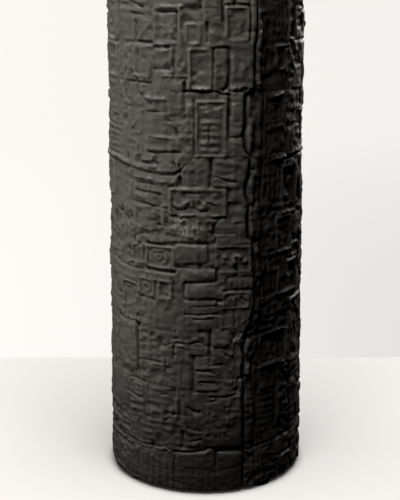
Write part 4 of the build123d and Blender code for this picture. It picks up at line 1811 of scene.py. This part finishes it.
@dataclass
class InnerClay:
    """What is pressed into the joints inside: rings, strips up the seam and the cove."""

    cutter: Cutter
    width: float = 14.0
    proud: float = 2.5
    seam_width: float = 16.0
    cove: float = 9.0
    seam_azimuth: float = 29.0
    finger: float = 13.0  # from one finger mark to the next
    finger_depth: float = 0.28
    bed: float = 0.3  # how far a piece beds into the wall
    steps: int = 12

    def build(self) -> None:
        """Shapes and hangs every inner piece."""
        measures = self.cutter.measures
        rise = measures.joint_rise / MM
        joints = {"band": measures.band_joint / MM + rise, "slab": measures.slab_joint / MM + rise}
        for phase, (name, level) in enumerate(joints.items()):
            ring = self.ring(f"{name}_joint_clay", level, 1.0 + phase)
            finish_piece(ring, [f"{name}_joint_coil"])
        half = self.width / 2
        stretches = {
            "lower": (joints["band"] + half, joints["slab"] - half),
            "upper": (joints["slab"] + half, measures.rim_joint / MM + rise),
        }
        for phase, (name, ends) in enumerate(stretches.items()):
            strip = self.upright(f"{name}_inner_seam_clay", ends, 2.0 + phase)
            finish_piece(strip, [f"{name}_inner_seam_coil"])
        finish_piece(self.foot(), ["foot_coil"])

    def lens(self) -> list[Point]:
        """A flattened coil's section: places from -1 to 1 across, and their shares of its height."""
        angles = [math.pi * step / self.steps for step in range(self.steps + 1)]
        return [(-math.cos(angle), math.sin(angle) ** 0.8) for angle in angles]

    def off_wall(self, off: float, marks: Array) -> Array:
        """How far a coil's back stands from the plain outside, from its share of the coil's height."""
        wall = self.cutter.measures.wall / MM
        return -wall + self.bed - off * (self.proud + self.bed) * (1 + self.finger_depth * marks)

    def ring(self, name: str, level: float, phase: float) -> bpy.types.Object:
        """A ring pressed over a level joint.

        Args:
            name: Its name.
            level: Its middle.
            phase: Sets its finger marks apart.

        Returns:
            The ring.
        """
        turn = np.radians(ROUND)
        girth = self.cutter.relief.girth
        place = np.abs(ROUND) * self.cutter.relief.per_degree
        marks = dents(place, girth / round(girth / self.finger), phase * np.sin(turn))
        edge = 0.5 * np.sin(9 * turn + phase) + 0.4 * np.sin(17 * turn)
        rings = []
        for across, off in self.lens():
            height = level + across * (self.width / 2 - 0.8) + edge * off**0.5
            rings.append(self.cutter.flat(ROUND, height, self.off_wall(off, marks)))
        return self.cutter.strip(name, np.stack(rings, axis=1), True, False, self.cutter.inside)

    def upright(self, name: str, ends: Point, phase: float) -> bpy.types.Object:
        """A strip pressed up the seam.

        Args:
            name: Its name.
            ends: Its lowest and highest level.
            phase: Sets its finger marks apart.

        Returns:
            The strip.
        """
        level = np.linspace(*ends, round((ends[1] - ends[0]) / 1.5))
        marks = dents(level, self.finger, phase)
        half = self.seam_width / 2 / self.cutter.relief.per_degree * 1.08
        edge = 0.35 * np.sin(level / 7 + phase)
        rows = []
        for across, off in reversed(self.lens()):
            azimuth = self.seam_azimuth + across * half + edge * off**0.5
            rows.append(self.cutter.flat(azimuth + 0 * level, level, self.off_wall(off, marks)))
        return self.cutter.strip(name, np.stack(rows, axis=1), True, True, self.cutter.inside)

    def foot(self) -> bpy.types.Object:
        """The cove in the corner between the base and the foot band, wiped hollow with a fingertip."""
        wall = self.cutter.measures.wall / MM
        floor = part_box("base_slab")[1].z / MM
        turn = np.radians(ROUND)
        uneven = 1 + 0.08 * np.sin(13 * turn) + 0.06 * np.sin(22 * turn + 1)
        rings = []
        bedded, reach = self.bed - wall, -wall - self.cove
        for out, up in ((bedded, self.cove), (bedded, -self.bed), (reach, -self.bed)):
            rings.append(self.cutter.flat(ROUND, floor + up + 0 * ROUND, out + 0 * ROUND))
        for step in range(1, 10):
            angle = math.pi / 2 * step / 10
            reach_out = self.cove * (1 - math.sin(angle)) * uneven
            reach_up = self.cove * (1 - math.cos(angle)) * uneven
            rings.append(self.cutter.flat(ROUND, floor + reach_up, -wall - reach_out))
        return self.cutter.strip("foot_cove_clay", np.stack(rings, axis=1), True, False, self.cutter.inside)


@dataclass
class Base:
    """The floor of the vase: a slab with cloth marks beneath and a turning hand's ripples on top."""

    cutter: Cutter
    seat: float = 3.2
    steps: int = 60

    def build(self) -> None:
        """Shapes and hangs the base."""
        measures = self.cutter.measures
        under, over = (corner.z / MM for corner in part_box("base_slab"))
        turn = np.radians(ROUND)
        top_radius = measures.inside(over * MM) / MM
        low_radius = measures.outside(under * MM) / MM - self.seat
        rings = []
        for share in np.linspace(0, 1, self.steps):
            ripple = 0.22 * np.sin(share * 46 - turn) * smooth(share * 6) * smooth((1 - share) * 12)
            rings.append(self.at(over + ripple, share * top_radius))
        for share in np.linspace(1, 0, self.steps):
            x, y = share * low_radius * np.sin(turn), share * low_radius * np.cos(turn)
            weave = 0.12 * (np.sin(x * 2.1) * np.sin(y * 2.1) + 1)
            weave = weave * smooth((1 - share) * 12) * smooth(share * 6)
            rings.append(self.at(under + weave, share * low_radius))
        base = self.cutter.strip("base_clay", np.stack(rings, axis=1), False, False, self.cutter.inside)
        finish_piece(base, ["base_slab"])

    def at(self, level: Array, radius: float) -> Array:
        """Flat points that roll up to a circle of that radius."""
        plain = self.cutter.measures.outside(level * MM) / MM
        return self.cutter.flat(ROUND, level, radius - plain)


@dataclass
class Pads:
    """Four round rubber pads under the foot."""

    finish: bpy.types.Material
    count: int = 4
    rounding: float = 0.8
    sides: int = 72

    def build(self) -> None:
        """Moulds one pad, sets copies of it round the foot and hangs them."""
        low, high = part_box("foot_pad_1")
        middle = (low + high) / 2
        radius, thickness = (high.x - low.x) / 2, high.z - low.z
        pad = self.mould(radius, thickness)
        values = {
            "Count": self.count,
            "Circle Radius": math.hypot(middle.x, middle.y),
            "First Angle": math.atan2(middle.y, middle.x),
            "Finish": self.finish,
        }
        ring_tree().apply(pad, values)
        finish_piece(pad, [f"foot_pad_{n + 1}" for n in range(self.count)], 50.0)

    def mould(self, radius: float, thickness: float) -> bpy.types.Object:
        """One pad about the axis, standing on the floor.

        Args:
            radius: Its radius.
            thickness: Its thickness.

        Returns:
            The pad.
        """
        edge = self.rounding * MM
        profile = [(radius - edge, 0.0)]
        for step in range(1, 7):
            angle = math.pi / 2 * step / 6
            profile.append((radius - edge + edge * math.sin(angle), edge - edge * math.cos(angle)))
        profile += [(radius, 0.6 * thickness), (radius - 0.12 * MM, thickness)]
        turn = np.arange(self.sides) * 2 * math.pi / self.sides
        rings = [np.stack([r * np.cos(turn), r * np.sin(turn), z + 0 * turn], axis=-1) for r, z in profile]
        numbers = np.arange(len(rings) * self.sides).reshape(len(rings), self.sides)
        faces = Shell.quads(np.concatenate([numbers, numbers[:, :1]], axis=1))
        faces += [numbers[0, ::-1].tolist(), numbers[-1].tolist()]
        return new_piece("foot_pads", np.concatenate(rings), faces)


@dataclass(frozen=True)
class SoftBox:
    """A soft light.

    Fields: its name; its azimuth and elevation from the point on the axis that it is aimed at; its distance
    from that point; its size; its power; the level of the point; and its colour.
    """

    name: str
    azimuth: float
    elevation: float
    distance: float
    size: float
    power: float
    aim: float = 0.28
    colour: Colour = (1.0, 0.965, 0.885)

    def hang(self, subject: bpy.types.Collection) -> None:
        """Hangs the light so that it lights one group of objects.

        Args:
            subject: What it lights.
        """
        data = bpy.data.lights.new(self.name, "AREA")
        data.shape = "SQUARE"
        data.size = self.size
        data.energy = self.power
        data.color = self.colour
        turn, rise = math.radians(self.azimuth), math.radians(self.elevation)
        level = math.cos(rise)
        away = Vector((math.sin(turn) * level, -math.cos(turn) * level, math.sin(rise)))
        lamp = bpy.data.objects.new(self.name, data)
        lamp.location = Vector((0, 0, self.aim)) + away * self.distance
        lamp.rotation_euler = (-away).to_track_quat("-Z", "Y").to_euler()
        lamp.visible_camera = False
        lamp.light_linking.receiver_collection = subject
        bpy.context.scene.collection.objects.link(lamp)


@dataclass
class Stage:
    """Floor, backdrop, lights and camera."""

    soft_boxes: tuple[SoftBox, ...] = (
        SoftBox("key", -46.0, 57.0, 0.85, 0.26, 8.6, 0.33),
        SoftBox("front", -22.0, 50.0, 0.85, 0.26, 12.0, 0.35),
        SoftBox("side", -84.0, 0.0, 0.6, 0.22, 2.6, 0.19),
        SoftBox("rear_left", -132.0, 35.0, 1.2, 0.5, 10.0, 0.3),
        SoftBox("rear_right", 138.0, 25.0, 1.2, 0.35, 17.0, 0.3),
    )
    house_lights: tuple[SoftBox, ...] = (
        SoftBox("overhead", 6.0, 80.0, 3.0, 2.2, 132.0, 0.0, colour=(1.0, 1.0, 1.0)),
    )
    # Both grounds are lighter at the left as painted light falloff.
    floor_finish: PaleGround = PaleGround(
        "pale_floor",
        near=((0.85, 0.825, 0.785), (0.79, 0.78, 0.75)),
        far=((0.86, 0.835, 0.795), (0.81, 0.8, 0.77)),
        glow=0.15,
        depth=(-0.4, 0.25),
    )
    wall_finish: PaleGround = PaleGround(
        "pale_backdrop",
        near=((0.985, 0.975, 0.94), (0.78, 0.77, 0.745)),
        far=((0.965, 0.94, 0.895), (0.89, 0.88, 0.85)),
        glow=1.0,
        depth=(0.27, 2.2),
    )
    floor_back: float = 0.265
    reach: float = 4.0
    wall_foot: float = 2.4
    bend_steps: int = 12
    sky: Colour = (0.9, 0.88, 0.85)
    lens: float = 85.0
    sensor: float = 36.0
    eye: tuple[float, float, float] = (-0.0052, -1.0553, 0.4857)
    tilt: float = 75.0

    def build(self) -> None:
        """Sets the stage."""
        edge = (self.floor_back, 0.0)
        floor = self.sweep("floor", [(-self.reach, 0.0), edge])
        angles = [math.pi / 2 * step / self.bend_steps for step in range(self.bend_steps + 1)]
        bend = [(self.wall_foot + math.sin(angle), 1.0 - math.cos(angle)) for angle in angles]
        back = self.sweep("backdrop", [edge, *bend, (self.wall_foot + 1.0, self.reach)])
        for piece, finish in ((floor, self.floor_finish), (back, self.wall_finish)):
            piece.data.materials.append(finish.make())
            piece.visible_glossy = False
            piece.visible_diffuse = False
            piece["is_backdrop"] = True
        ground = self.gather("ground", [floor, back])
        vase = self.gather("vase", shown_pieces())
        for soft_box in self.soft_boxes:
            soft_box.hang(vase)
        for soft_box in self.house_lights:
            soft_box.hang(ground)
        world = bpy.data.worlds.new("studio")
        world.use_nodes = True
        world.node_tree.nodes["Background"].inputs["Color"].default_value = (*self.sky, 1.0)
        for ray in ("diffuse", "glossy", "transmission", "scatter"):
            setattr(world.cycles_visibility, ray, False)
        bpy.context.scene.world = world
        bpy.context.scene.view_settings.view_transform = "Standard"
        self.camera()

    def sweep(self, name: str, profile: Sequence[Point]) -> bpy.types.Object:
        """A sheet as wide as the stage.

        Args:
            name: Its name.
            profile: The y and z that it goes through, from the front.

        Returns:
            The sheet.
        """
        points = [(side * self.reach, y, z) for y, z in profile for side in (-1, 1)]
        faces = [(2 * i, 2 * i + 1, 2 * i + 3, 2 * i + 2) for i in range(len(profile) - 1)]
        return new_piece(name, np.array(points), faces)

    @staticmethod
    def gather(name: str, members: Sequence[bpy.types.Object]) -> bpy.types.Collection:
        """Puts objects in a collection that a light can be aimed at alone."""
        group = bpy.data.collections.new(name)
        for member in members:
            group.objects.link(member)
        return group

    def camera(self) -> None:
        """Adds the camera."""
        data = bpy.data.cameras.new("camera")
        data.lens = self.lens
        data.sensor_width = self.sensor
        eye = bpy.data.objects.new("camera", data)
        eye.location = self.eye
        eye.rotation_euler = (math.radians(self.tilt), 0.0, 0.0)
        bpy.context.scene.collection.objects.link(eye)
        bpy.context.scene.camera = eye


def main() -> None:
    """Builds every sub-assembly around the frame."""
    logging.basicConfig(level=logging.INFO, format="%(name)s: %(message)s")
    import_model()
    measures = Measures.from_frame()
    log.info("%s", measures)
    relief = Relief(measures).work()
    clay = BlackClay().make(measures)
    cutter = Cutter(measures, relief, roll_tree(), clay, InsideClay().make())
    for part in (Wall(cutter), Rim(cutter), InnerClay(cutter), Base(cutter), Pads(PadRubber().make())):
        part.build()
    Stage().build()


if __name__ == "__main__":
    main()
